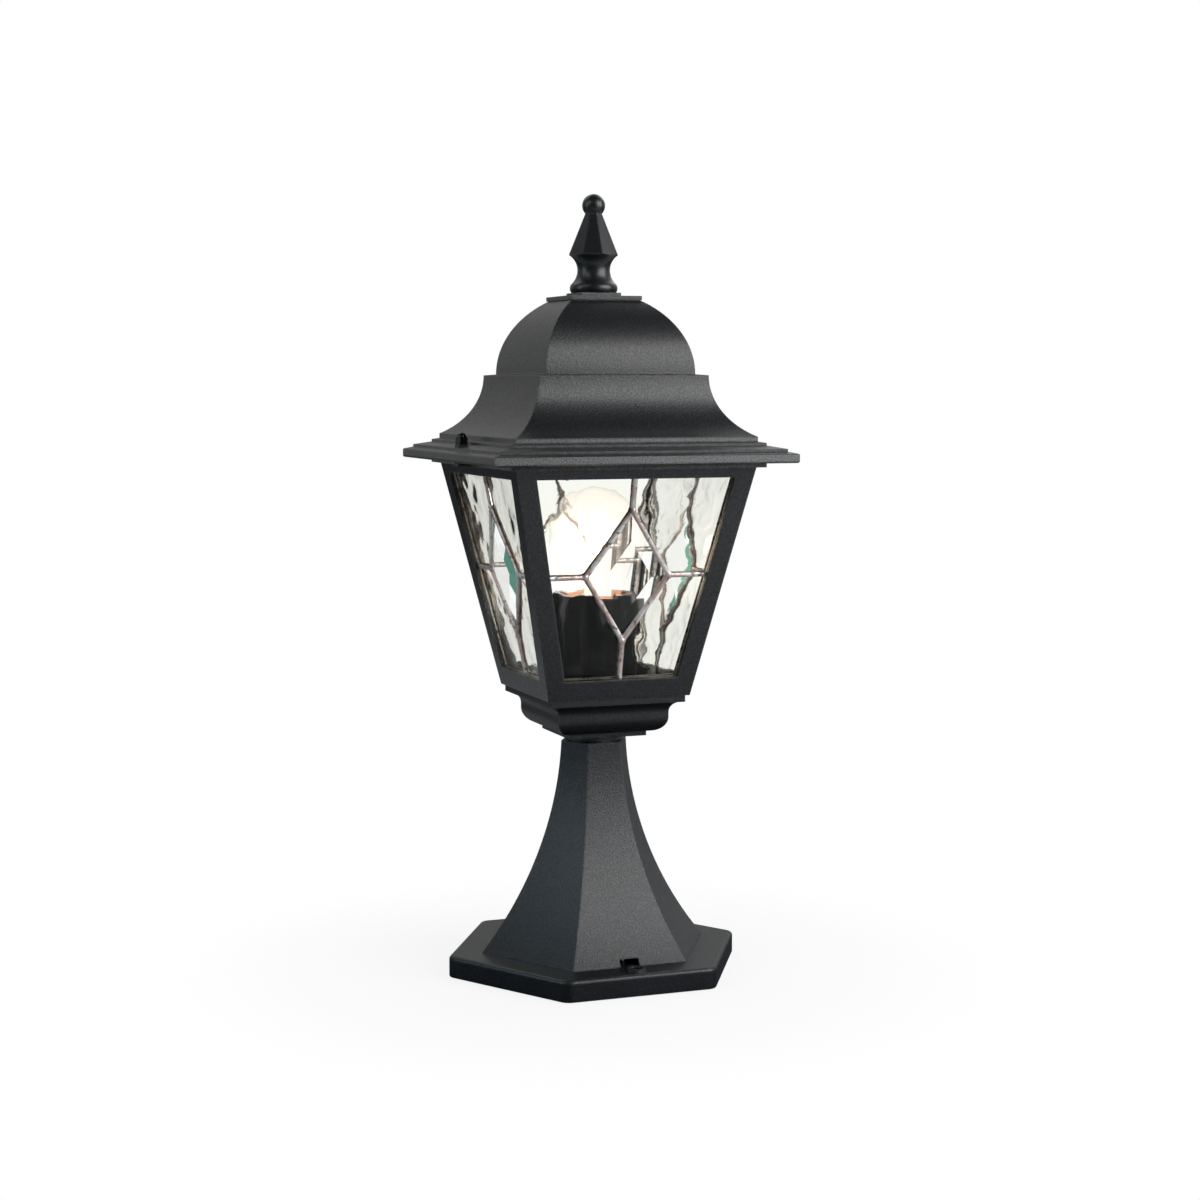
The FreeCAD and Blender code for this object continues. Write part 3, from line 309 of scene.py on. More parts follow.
@dataclass(frozen=True)
class ClearGlass:
    """Clear glass that lets light through to what lies behind it, or traps some, shown as a painted green glow."""

    name: str
    tint: Colour
    ripple: float = 0.0
    ripple_rise: float = 0.0
    ripple_stretch: Colour = (0.45, 0.45, 1.0)
    haze: float = 0.0
    mirror: float = 0.5
    bending: float = 1.47
    traps_light: bool = False
    painted_trapped_glow: Colour = (0.038, 0.1, 0.078)
    straight_depth: float = 3.5

    def material(self) -> bpy.types.Material:
        """Builds the finish."""
        recipe = Recipe.named(self.name)
        inputs = {"Base Color": self.tint, "Roughness": self.haze, "Transmission Weight": 1.0,
                  "IOR": self.bending, "Specular Tint": (self.mirror, self.mirror, self.mirror)}
        if self.ripple:
            ripple = recipe.noise(self.ripple, 2.0, self.ripple_stretch)
            inputs["Normal"] = recipe.bump(ripple, self.ripple_rise)
        if self.traps_light:
            # Painted glow: rays that have bounced inside the glass many times end in green emission.
            depth = recipe.node("ShaderNodeLightPath", output="Ray Depth")
            painted_glow_share = depth.ramp(self.straight_depth, self.straight_depth + 1.0)
            inputs["Emission Color"] = recipe.blend(painted_glow_share, (0.0, 0.0, 0.0), self.painted_trapped_glow)
            inputs["Emission Strength"] = 1.0
        glass = recipe.coat(inputs)
        through = recipe.node("ShaderNodeBsdfTransparent", None, {"Color": self.tint})
        shadow, diffuse, glossy, bent = (recipe.node("ShaderNodeLightPath", output=f"Is {word} Ray")
                                         for word in ("Shadow", "Diffuse", "Glossy", "Transmission"))
        passing = shadow.highest(diffuse)
        if not self.traps_light:
            passing = passing.highest(glossy - bent)
        surface = recipe.node("ShaderNodeMixShader", None, {0: passing, 1: glass, 2: through})
        return recipe.finish(surface)


@dataclass(frozen=True)
class Solder:
    """Tinned lead: bright crowns, dull dark hollows and a rosy tarnish."""

    name: str = "tinned_lead"
    bright: Colour = (0.93, 0.9, 0.88)
    dull: Colour = (0.2, 0.165, 0.155)
    rosy: Colour = (0.68, 0.52, 0.49)

    def material(self) -> bpy.types.Material:
        """Builds the finish."""
        recipe = Recipe.named(self.name)
        lump = recipe.noise(3.2, 3.0)
        cloud = recipe.noise(22.0, 2.0)
        fine = recipe.noise(0.9, 2.0)
        metal = recipe.blend(cloud.ramp(0.42, 0.62), self.bright, self.rosy)
        colour = recipe.blend(lump.ramp(0.47, 0.3), metal, self.dull)
        gloss = 0.26 + lump.ramp(0.5, 0.3) * 0.2 + fine * 0.1
        normal = recipe.bump(lump, 0.38, recipe.bump(fine, 0.12))
        return recipe.finish(recipe.coat({"Base Color": colour, "Metallic": 0.68, "Roughness": gloss,
                                          "Normal": normal}))


@dataclass(frozen=True)
class Moulded:
    """Moulded or glazed piece with a faint skin texture, and painted warm bulb light inside a radius in metres."""

    name: str
    colour: Colour
    shade: Colour
    gloss: float
    sheen: float = 0.5
    skin: float = 1.2
    skin_rise: float = 0.03
    painted_bulb_light: Colour = (0.0, 0.0, 0.0)
    bulb_light_radius: float = 0.0
    bulb_light_fade: float = 0.0004

    def material(self) -> bpy.types.Material:
        """Builds the finish."""
        recipe = Recipe.named(self.name)
        cloud = recipe.noise(14.0, 3.0)
        skin = recipe.noise(self.skin, 2.0)
        colour = recipe.blend(cloud.ramp(0.35, 0.65), self.colour, self.shade)
        # Painted light: the bulb's warm glow on the rim inside the radius, mottled by the cloud.
        if self.bulb_light_radius:
            here = recipe.place((1.0, 1.0, 0.0))
            across = recipe.node("ShaderNodeVectorMath", {"operation": "LENGTH"}, {0: here}, "Value")
            inside = across.ramp(self.bulb_light_radius + self.bulb_light_fade, self.bulb_light_radius - self.bulb_light_fade)
            colour = recipe.blend(inside * cloud.ramp(0.2, 0.6), colour, self.painted_bulb_light)
        gloss = (self.gloss - 0.05) + skin * 0.1
        normal = recipe.bump(skin, self.skin_rise)
        return recipe.finish(recipe.coat({"Base Color": colour, "Roughness": gloss, "Normal": normal,
                                          "Specular IOR Level": self.sheen}))


@dataclass(frozen=True)
class BareMetal:
    """Plated or plain metal with machining marks."""

    name: str
    colour: Colour
    shade: Colour
    gloss: float = 0.3

    def material(self) -> bpy.types.Material:
        """Builds the finish."""
        recipe = Recipe.named(self.name)
        cloud = recipe.noise(6.0, 3.0)
        mark = recipe.noise(0.5, 2.0, (0.15, 0.15, 1.0))
        colour = recipe.blend(cloud.ramp(0.3, 0.7), self.colour, self.shade)
        gloss = (self.gloss - 0.08) + cloud * 0.16
        normal = recipe.bump(mark, 0.03)
        return recipe.finish(recipe.coat({"Base Color": colour, "Metallic": 1.0, "Roughness": gloss,
                                          "Normal": normal}))


@dataclass(frozen=True)
class LitBulb:
    """Thin glass of the lit bulb, amber at its neck, with a warm glow that fills it."""

    name: str = "lit_bulb_glass"
    amber: Colour = (0.24, 0.1, 0.045)
    cream: Colour = (0.012, 0.01, 0.008)
    neck_level: float = 0.248
    cream_level: float = 0.262
    streak: float = 0.016
    tint: Colour = (0.92, 0.875, 0.85)
    glow: Colour = (1.0, 0.83, 0.72)
    glow_strength: float = 5.4

    def material(self) -> bpy.types.Material:
        """Builds the finish."""
        recipe = Recipe.named(self.name)
        streak = (recipe.noise(7.0, 2.0, (1.0, 1.0, 0.2)) - 0.5) * self.streak
        level = recipe.height() + streak
        warm = recipe.blend(level.ramp(self.neck_level, self.cream_level), self.amber, self.cream)
        glass = recipe.coat({"Base Color": self.tint, "Roughness": 0.03, "Transmission Weight": 1.0,
                             "IOR": 1.0, "Coat Weight": 0.4, "Coat Roughness": 0.04,
                             "Emission Color": warm, "Emission Strength": 1.0})
        through = recipe.node("ShaderNodeBsdfTransparent", None, {"Color": self.tint})
        shadow, diffuse = (recipe.node("ShaderNodeLightPath", output=f"Is {word} Ray")
                           for word in ("Shadow", "Diffuse"))
        surface = recipe.node("ShaderNodeMixShader", None, {0: shadow.highest(diffuse), 1: glass, 2: through})
        inside = recipe.node("ShaderNodeEmission", None, {"Color": self.glow, "Strength": self.glow_strength})
        return recipe.finish(surface, inside)


@dataclass(frozen=True)
class Filament:
    """Glowing filament, a little uneven as it burns."""

    name: str = "filament_glow"
    hot: Colour = (1.0, 0.85, 0.6)
    warm: Colour = (1.0, 0.66, 0.34)
    strength: float = 9.0

    def material(self) -> bpy.types.Material:
        """Builds the finish."""
        recipe = Recipe.named(self.name)
        colour = recipe.blend(recipe.noise(9.0).ramp(0.35, 0.65), self.hot, self.warm)
        return recipe.finish(recipe.coat({"Base Color": (0.8, 0.7, 0.5), "Roughness": 0.5,
                                          "Emission Color": colour, "Emission Strength": self.strength}))


class Bench:
    """Modelling steps, as they are taken by hand."""

    @staticmethod
    def clear() -> None:
        """Leaves nothing selected."""
        bpy.ops.object.select_all(action="DESELECT")

    @staticmethod
    def take(name: str) -> bpy.types.Object:
        """Names the active object and its mesh."""
        made = bpy.context.object
        made.name = name
        made.data.name = name
        return made

    @staticmethod
    def only(made: bpy.types.Object) -> None:
        """Selects one object and makes it active."""
        bpy.ops.object.select_all(action="DESELECT")
        made.select_set(True)
        bpy.context.view_layer.objects.active = made

    @staticmethod
    @contextmanager
    def editing(everything: bool = True) -> Iterator[None]:
        """Edit mode for the active object, at first with everything selected or with what was picked."""
        bpy.ops.object.mode_set(mode="EDIT")
        if everything:
            bpy.ops.mesh.select_all(action="SELECT")
        yield
        bpy.ops.object.mode_set(mode="OBJECT")

    @classmethod
    def pick_points(cls, made: bpy.types.Object, test: Callable[[Vector], bool]) -> None:
        """Selects the points of an object whose places pass a test."""
        cls.only(made)
        with cls.editing():
            bpy.ops.mesh.select_mode(type="VERT")
            bpy.ops.mesh.select_all(action="DESELECT")
        for point in made.data.vertices:
            point.select = test(point.co)

    @classmethod
    def pick_edges(cls, made: bpy.types.Object, test: Callable[[Vector], bool]) -> None:
        """Selects the edges of an object whose runs from end to end pass a test."""
        cls.only(made)
        with cls.editing():
            bpy.ops.mesh.select_mode(type="EDGE")
            bpy.ops.mesh.select_all(action="DESELECT")
        for edge in made.data.edges:
            start, end = (made.data.vertices[index].co for index in edge.vertices)
            edge.select = test(end - start)

    @classmethod
    def modify(cls, made: bpy.types.Object, kind: str, settings: dict) -> None:
        """Adds a modifier and applies it.

        Args:
            made: The object.
            kind: The modifier's type.
            settings: The modifier's settings.
        """
        cls.only(made)
        modifier = made.modifiers.new(kind.lower(), kind)
        for key, value in settings.items():
            setattr(modifier, key, value)
        bpy.ops.object.modifier_apply(modifier=modifier.name)

    @classmethod
    def move(cls, made: bpy.types.Object, matrix: Matrix) -> None:
        """Moves an object and puts its new place into its mesh."""
        cls.only(made)
        made.matrix_world = matrix @ made.matrix_world
        bpy.ops.object.transform_apply(location=True, rotation=True, scale=True)

    @classmethod
    def copy(cls, made: bpy.types.Object, name: str) -> bpy.types.Object:
        """Copies an object with its own mesh."""
        cls.only(made)
        bpy.ops.object.duplicate(linked=False)
        return cls.take(name)

    @classmethod
    def join(cls, pieces: Sequence[bpy.types.Object], name: str) -> bpy.types.Object:
        """Joins objects into the first one."""
        cls.only(pieces[0])
        for piece in pieces:
            piece.select_set(True)
        bpy.ops.object.join()
        return cls.take(name)

    @classmethod
    def smooth(cls, made: bpy.types.Object, degrees: float) -> None:
        """Shades an object smooth, with hard edges above an angle."""
        cls.only(made)
        bpy.ops.object.shade_smooth_by_angle(angle=math.radians(degrees))

    @staticmethod
    def outwards() -> None:
        """Turns all faces outwards, in edit mode."""
        bpy.ops.mesh.select_all(action="SELECT")
        bpy.ops.mesh.normals_make_consistent(inside=False)

    @classmethod
    def lathe(cls, name: str, profile: Sequence[tuple[float, float]], segments: int) -> bpy.types.Object:
        """Extrudes a disc up the axis and scales it at each level.

        Args:
            name: The object's name.
            profile: Radius and level of each step, in millimetres.
            segments: Number of corners of the disc.

        Returns:
            The closed solid.
        """
        cls.clear()
        radius, level = profile[0]
        bpy.ops.mesh.primitive_circle_add(vertices=segments, radius=radius * MM, fill_type="NGON",
                                          location=(0, 0, level * MM))
        made = cls.take(name)
        with cls.editing():
            for next_radius, next_level in profile[1:]:
                rise = (next_level - level) * MM
                bpy.ops.mesh.extrude_region_move(TRANSFORM_OT_translate={"value": (0, 0, rise)})
                scale = next_radius / radius
                bpy.ops.transform.resize(value=(scale, scale, 1), center_override=(0, 0, next_level * MM))
                radius, level = next_radius, next_level
            cls.outwards()
        cls.move(made, Matrix.Identity(4))
        return made


def dress(node: str, material: bpy.types.Material) -> None:
    """Gives a node of the frame its finish."""
    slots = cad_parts[node].data.materials
    slots.clear()
    slots.append(material)
    LOG.info("dressed %s in %s", node, material.name)


def place(made: bpy.types.Object, material: bpy.types.Material, slot: str, *stands_for: str) -> None:
    """Dresses a new piece and lets it ride on the lamp.

    Args:
        made: The piece.
        material: Its finish.
        slot: A slot's name; not used.
        stands_for: Nodes of the frame that it stands for.
    """
    made.data.materials.clear()
    made.data.materials.append(material)
    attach(made, "root")
    if stands_for:
        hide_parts(*stands_for)
    LOG.info("added %s with %d faces", made.name, len(made.data.polygons))


@dataclass
class Pane:
    """One leaded pane, in millimetres, in a frame of its own: across, up the slope and outwards."""

    side: Side
    foot_half: float = 48.0
    foot_level: float = 183.0
    top_half: float = 80.3
    cage_height: float = 150.0
    stile: float = 12.5
    low_rail: float = 12.8
    top_rail: float = 9.4
    lap: float = 3.2
    edge_gap: float = 1.1
    heart_half: float = 0.6
    glass_front: float = -4.0
    glass_thickness: float = 3.0
    diamond_half: float = 28.0
    diamond_rise: float = 42.5
    diamond_level: float = 80.0
    bead_half: float = 1.65
    bead_rise: float = 1.25
    bead_lap: float = 0.5
    joint_radius: float = 2.4
    lump_rise: float = 0.4
    lump_middle: float = 0.45
    solder_pitch: float = 0.5
    mesh_pitch: float = 1.25

    @property
    def tilt(self) -> float:
        """Lean of the pane from the upright."""
        return math.atan2(self.top_half - self.foot_half, self.cage_height)

    @property
    def face_length(self) -> float:
        """Length of the cage's side along its slope."""
        return self.cage_height / math.cos(self.tilt)

    @property
    def matrix(self) -> Matrix:
        """From the pane's own frame to the lamp's."""
        lean = Matrix.Rotation(math.pi / 2 + self.tilt, 4, "X")
        shift = Matrix.Translation((0, -self.foot_half * MM, self.foot_level * MM))
        turn = Matrix.Rotation(math.pi / 2 * self.side.value, 4, "Z")
        return turn @ shift @ lean

    def half_at(self, up: float, margin: float) -> float:
        """Half width of the side at a place up its slope, less a margin."""
        return self.foot_half + up * math.sin(self.tilt) - margin

    def cuts(self, quarter: Quarter) -> list[tuple[Vector, Vector]]:
        """Edges of one wavy glass.

        Args:
            quarter: Which of the four.

        Returns:
            A point on each edge and the direction out of the glass there.
        """
        hand, rise = quarter.value
        low = self.low_rail - self.lap + self.edge_gap
        high = self.face_length - self.top_rail + self.lap - self.edge_gap
        margin = self.stile - self.lap + self.edge_gap
        slope = Vector((hand, -math.sin(self.tilt), 0)).normalized()
        inward = Vector((-hand * self.diamond_rise, -rise * self.diamond_half, 0)).normalized()
        tip = Vector((hand * self.diamond_half, self.diamond_level, 0))
        end = high if rise > 0 else low
        return [
            (Vector((hand * self.heart_half, 0, 0)), Vector((-hand, 0, 0))),
            (Vector((0, self.diamond_level + rise * self.heart_half, 0)), Vector((0, -rise, 0))),
            (Vector((0, end, 0)), Vector((0, rise, 0))),
            (Vector((hand * self.half_at(0, margin), 0, 0)), slope),
            (tip - inward * self.heart_half, inward),
        ]

    def flat_glass(self, quarter: Quarter) -> bpy.types.Object:
        """Cuts one sheet of glass to its outline, flat in the pane's frame."""
        hand, rise = quarter.value
        end = self.face_length if rise > 0 else 0.0
        width = self.half_at(max(end, self.diamond_level), 0)
        span = abs(end - self.diamond_level)
        centre = Vector((hand * width / 2, (end + self.diamond_level) / 2, 0)) * MM
        Bench.clear()
        bpy.ops.mesh.primitive_grid_add(x_subdivisions=round(width / self.mesh_pitch),
                                        y_subdivisions=round(span / self.mesh_pitch),
                                        size=1.0, location=centre)
        made = Bench.take(f"{self.side.word}_water_glass_{quarter.word}")
        Bench.move(made, Matrix.Identity(4))
        with Bench.editing():
            bpy.ops.transform.resize(value=(width * MM, span * MM, 1), center_override=centre)
            for point, out in self.cuts(quarter):
                bpy.ops.mesh.select_all(action="SELECT")
                bpy.ops.mesh.bisect(plane_co=point * MM, plane_no=out, clear_outer=True)
            bpy.ops.mesh.select_all(action="SELECT")
            bpy.ops.transform.translate(value=(0, 0, self.glass_front * MM))
        return made

    def wavy_glass(self, quarter: Quarter, waves: "Waves") -> bpy.types.Object:
        """Gives the cut sheet its thickness and its waves, and sets it in the pane."""
        made = self.flat_glass(quarter)
        inner = "inner"
        made.vertex_groups.new(name=inner)
        Bench.modify(made, "SOLIDIFY", {"thickness": self.glass_thickness * MM, "offset": -1.0,
                                        "shell_vertex_group": inner})
        shift = Matrix.Translation(waves.shift(self.side))
        Bench.move(made, shift)
        for texture, rise, inside in waves.layers():
            Bench.modify(made, "DISPLACE", {"texture": texture, "texture_coords": "LOCAL", "direction": "Z",
                                            "mid_level": 0.0 if inside else 1.0, "strength": rise * MM,
                                            "vertex_group": inner, "invert_vertex_group": not inside})
        Bench.move(made, shift.inverted())
        with Bench.editing():
            Bench.outwards()
        Bench.smooth(made, 50)
        Bench.move(made, self.matrix)
        return made

    def bead_lines(self) -> list[tuple[Vector, Vector]]:
        """Ends of each line of lead: the diamond's sides, then the four arms."""
        middle = Vector((0, self.diamond_level, 0))
        across = Vector((self.diamond_half, 0, 0))
        up = Vector((0, self.diamond_rise, 0))
        tips = [middle + across, middle + up, middle - across, middle - up]
        side = self.half_at(self.diamond_level, self.stile) + self.bead_lap
        ends = [Vector((side, self.diamond_level, 0)),
                Vector((0, self.face_length - self.top_rail + self.bead_lap, 0)),
                Vector((-side, self.diamond_level, 0)),
                Vector((0, self.low_rail - self.bead_lap, 0))]
        return [(tips[index - 1], tips[index]) for index in range(4)] + list(zip(tips, ends))

    def bead(self, start: Vector, end: Vector) -> bpy.types.Object:
        """Models one run of lead as a long flat round bar."""
        way = end - start
        Bench.clear()
        bpy.ops.mesh.primitive_cylinder_add(vertices=16, radius=self.bead_half * MM,
                                            depth=(way.length + self.bead_half) * MM)
        made = Bench.take("bead")
        Bench.pick_edges(made, lambda run: abs(run.z) > self.bead_half * MM)
        with Bench.editing(everything=False):
            bpy.ops.mesh.subdivide(number_cuts=int(way.length / self.mesh_pitch))
        turn = Vector((0, 0, 1)).rotation_difference(way).to_matrix().to_4x4()
        Bench.move(made, Matrix.Translation((start + end) / 2 * MM) @ turn)
        return made

    def joint(self, spot: Vector) -> bpy.types.Object:
        """Models one blob of solder where runs of lead meet."""
        Bench.clear()
        bpy.ops.mesh.primitive_uv_sphere_add(segments=20, ring_count=12, radius=self.joint_radius * MM,
                                             location=spot * MM)
        made = Bench.take("joint")
        Bench.move(made, Matrix.Identity(4))
        return made

    def solder(self, lumps: bpy.types.Texture) -> bpy.types.Object:
        """Joins beads and blobs into one lumpy skin on the outer face of the glass.

        Args:
            lumps: Texture of the lumps.

        Returns:
            The skin, in the pane's frame.
        """
        lines = self.bead_lines()
        pieces = [self.bead(start, end) for start, end in lines]
        pieces += [self.joint(end) for _, end in lines[:4]]
        made = Bench.join(pieces, f"{self.side.word}_solder")
        Bench.modify(made, "REMESH", {"mode": "VOXEL", "voxel_size": self.solder_pitch * MM})
        Bench.modify(made, "SMOOTH", {"factor": 0.5, "iterations": 4})
        Bench.modify(made, "DISPLACE", {"texture": lumps, "texture_coords": "LOCAL",
                                        "mid_level": self.lump_middle, "strength": self.lump_rise * MM})
        flat = Matrix.Diagonal((1, 1, self.bead_rise / self.bead_half, 1))
        level = self.glass_front * MM
        Bench.move(made, Matrix.Translation((0, 0, level)) @ flat)
        Bench.pick_points(made, lambda spot: spot.z < level)
        with Bench.editing(everything=False):
            bpy.ops.transform.resize(value=(1, 1, 0), center_override=(0, 0, level))
        Bench.smooth(made, 60)
        return made


@dataclass
class Waves:
    """Waves of the drawn glass: broad swells on both faces and a finer crinkle outside."""

    swell: float = 16.0
    swell_rise: float = 1.1
    crinkle: float = 6.0
    crinkle_rise: float = 0.1
    back_stretch: float = 1.3
    back_share: float = 0.5
    cut_step: Colour = (0.31, 0.17, 0.05)

    def texture(self, name: str, grain: float, depth: int) -> bpy.types.Texture:
        """Makes a cloud texture with spots of a size in millimetres."""
        made = bpy.data.textures.get(name) or bpy.data.textures.new(name, "CLOUDS")
        made.noise_scale = grain * MM
        made.noise_depth = depth
        return made

    def layers(self) -> list[tuple[bpy.types.Texture, float, bool]]:
        """Texture, rise in millimetres, and whether it is on the inner face."""
        swell = self.texture("glass_swell", self.swell, 1)
        back = self.texture("glass_back_swell", self.swell * self.back_stretch, 1)
        crinkle = self.texture("glass_crinkle", self.crinkle, 1)
        return [(swell, self.swell_rise, False), (crinkle, self.crinkle_rise, False),
                (back, self.swell_rise * self.back_share, True)]

    def shift(self, side: Side) -> Vector:
        """Where in the texture each pane was cut."""
        return Vector(self.cut_step) * (side.value + 1)


@dataclass
class Panes:
    """The four leaded panes."""

    lump_size: float = 3.5

    def build(self) -> None:
        """Models the wavy glass and the solder and dresses glass and lead."""
        water = ClearGlass("water_glass", (0.99, 0.995, 0.955), ripple=2.0, ripple_rise=0.05, haze=0.04,
                           mirror=0.34).material()
        bevel = ClearGlass("bevelled_glass", (0.985, 0.99, 0.985), traps_light=True).material()
        lead = Solder().material()
        came = Solder("dull_lead", bright=(0.42, 0.4, 0.38), dull=(0.1, 0.09, 0.08),
                      rosy=(0.3, 0.26, 0.24)).material()
        waves = Waves()
        lumps = waves.texture("solder_lumps", self.lump_size, 2)
        first = None
        for side in Side:
            pane = Pane(side)
            for quarter in Quarter:
                made = pane.wavy_glass(quarter, waves)
                place(made, water, "water_glass", f"{side.word}_glass_{quarter.word}")
            dress(f"{side.word}_bevel_diamond", bevel)
            dress(f"{side.word}_leadwork", came)
            if first is None:
                first = pane.solder(lumps)
            inner = Bench.copy(first, f"{side.word}_solder_inner")
            Bench.move(inner, pane.matrix @ self.turned_inwards(pane))
            place(inner, lead, "lead_came")
            outer = Bench.copy(first, f"{side.word}_solder_outer")
            Bench.move(outer, pane.matrix)
            place(outer, lead, "lead_came")
        bpy.data.objects.remove(first)

    @staticmethod
    def turned_inwards(pane: Pane) -> Matrix:
        """Half turn that brings the outer solder to the inner face of the glass."""
        middle = Matrix.Translation((0, 0, (pane.glass_front - pane.glass_thickness / 2) * MM))
        return middle @ Matrix.Rotation(math.pi, 4, "Y") @ middle.inverted()


@dataclass
class Bulb:
    """Pear shaped bulb in millimetres: globe, filaments round a stem, threaded cap and tip."""

    base: float = 206.0
    length: float = 110.0
    radius: float = 30.0
    neck: float = 14.0
    neck_rise: float = 4.0
    cap_radius: float = 12.6
    cap_height: float = 28.0
    cone_height: float = 7.0
    tip_radius: float = 4.5
    tip_height: float = 2.0
    thread_pitch: float = 3.6
    thread_depth: float = 0.8
    filament_ring: float = 8.0
    filament_radius: float = 1.3
    filament_low: float = 268.0
    filament_high: float = 300.0
    filament_lean: float = 3.4
    filament_count: int = 4
    stem_radius: float = 5.0

    def globe_profile(self) -> list[tuple[float, float]]:
        """Radius and level up the glass, from the cap to the crown."""
        centre = self.base + self.length - self.radius
        neck_level = self.base + self.cap_height + self.neck_rise
        reach = math.hypot(self.neck, centre - neck_level)
        turn = math.atan2(neck_level - centre, self.neck) + math.acos(self.radius / reach)
        points = [(self.cap_radius, self.base + self.cap_height - 1.0), (self.neck, neck_level)]
        steps = 22
        for index in range(steps + 1):
            angle = turn + (math.pi / 2 - turn) * index / steps * 0.995
            points.append((self.radius * math.cos(angle), centre + self.radius * math.sin(angle)))
        return points

    def cap_profile(self) -> list[tuple[float, float]]:
        """Radius and level up the threaded cap."""
        low = self.base + self.cone_height
        high = self.base + self.cap_height
        points = [(self.tip_radius + 3.0, self.base + self.tip_height), (self.cap_radius - 0.8, low)]
        steps = 48
        for index in range(1, steps):
            level = low + (high - low - 2.0) * index / steps
            wave = math.sin(2 * math.pi * (level - low) / self.thread_pitch)
            points.append((self.cap_radius - self.thread_depth * (0.5 - 0.5 * wave), level))
        return points + [(self.cap_radius, high - 1.0), (self.cap_radius, high)]

    def stem_profile(self) -> list[tuple[float, float]]:
        """Radius and level up the glass stem and the rod that carries the filaments."""
        low = self.base + self.cap_height
        rod = self.stem_radius * 0.25
        return [(self.stem_radius * 1.7, low), (self.stem_radius * 1.3, low + 5),
                (self.stem_radius, low + 13), (self.stem_radius * 0.8, low + 24), (rod, low + 28),
                (rod, self.filament_high + 2), (rod * 0.5, self.filament_high + 3)]

    def filament_profile(self) -> list[tuple[float, float]]:
        """Radius and level up one filament, thin at both ends."""
        thin = self.filament_radius * 0.4
        full, low, high = self.filament_radius, self.filament_low, self.filament_high
        return [(thin, low - 4), (thin, low), (full, low + 1.5),
                (full, high - 1.5), (thin, high), (thin, high + 3)]

    def filaments(self) -> bpy.types.Object:
        """Models one filament, leans it and sets its copies round the stem."""
        first = Bench.lathe("bulb_filaments", self.filament_profile(), 16)
        foot = Matrix.Translation((0, 0, self.filament_low * MM))
        lean = foot @ Matrix.Rotation(math.radians(self.filament_lean), 4, "Y") @ foot.inverted()
        Bench.move(first, Matrix.Translation((self.filament_ring * MM, 0, 0)) @ lean)
        pieces = [first]
        for index in range(1, self.filament_count):
            piece = Bench.copy(first, f"filament_{index}")
            Bench.move(piece, Matrix.Rotation(2 * math.pi * index / self.filament_count, 4, "Z"))
            pieces.append(piece)
        return Bench.join(pieces, "bulb_filaments")

    def build(self) -> None:
        """Models and dresses the bulb."""
        globe = Bench.lathe("bulb_globe", self.globe_profile(), 64)
        Bench.smooth(globe, 40)
        place(globe, LitBulb().material(), "bulb_opal", "bulb")
        filaments = self.filaments()
        Bench.smooth(filaments, 40)
        place(filaments, Filament().material(), "bulb_opal")
        stem = Bench.lathe("bulb_stem", self.stem_profile(), 24)
        Bench.smooth(stem, 40)
        stem_glow = Filament("bulb_stem_glow", hot=(1.0, 0.88, 0.76), warm=(1.0, 0.82, 0.66), strength=1.6)
        place(stem, stem_glow.material(), "bulb_opal")
        cap = Bench.lathe("bulb_cap", self.cap_profile(), 40)
        Bench.smooth(cap, 50)
        plated = BareMetal("bulb_cap_metal", (0.78, 0.76, 0.72), (0.6, 0.58, 0.54))
        place(cap, plated.material(), "brass")
        tip = Bench.lathe("bulb_tip", [(self.tip_radius, self.base), (self.tip_radius, self.base + 1.4),
                                       (self.tip_radius - 1.0, self.base + self.tip_height + 0.4)], 24)
        Bench.smooth(tip, 40)
        place(tip, BareMetal("bulb_tip_metal", (0.55, 0.5, 0.45), (0.4, 0.36, 0.32)).material(), "brass")


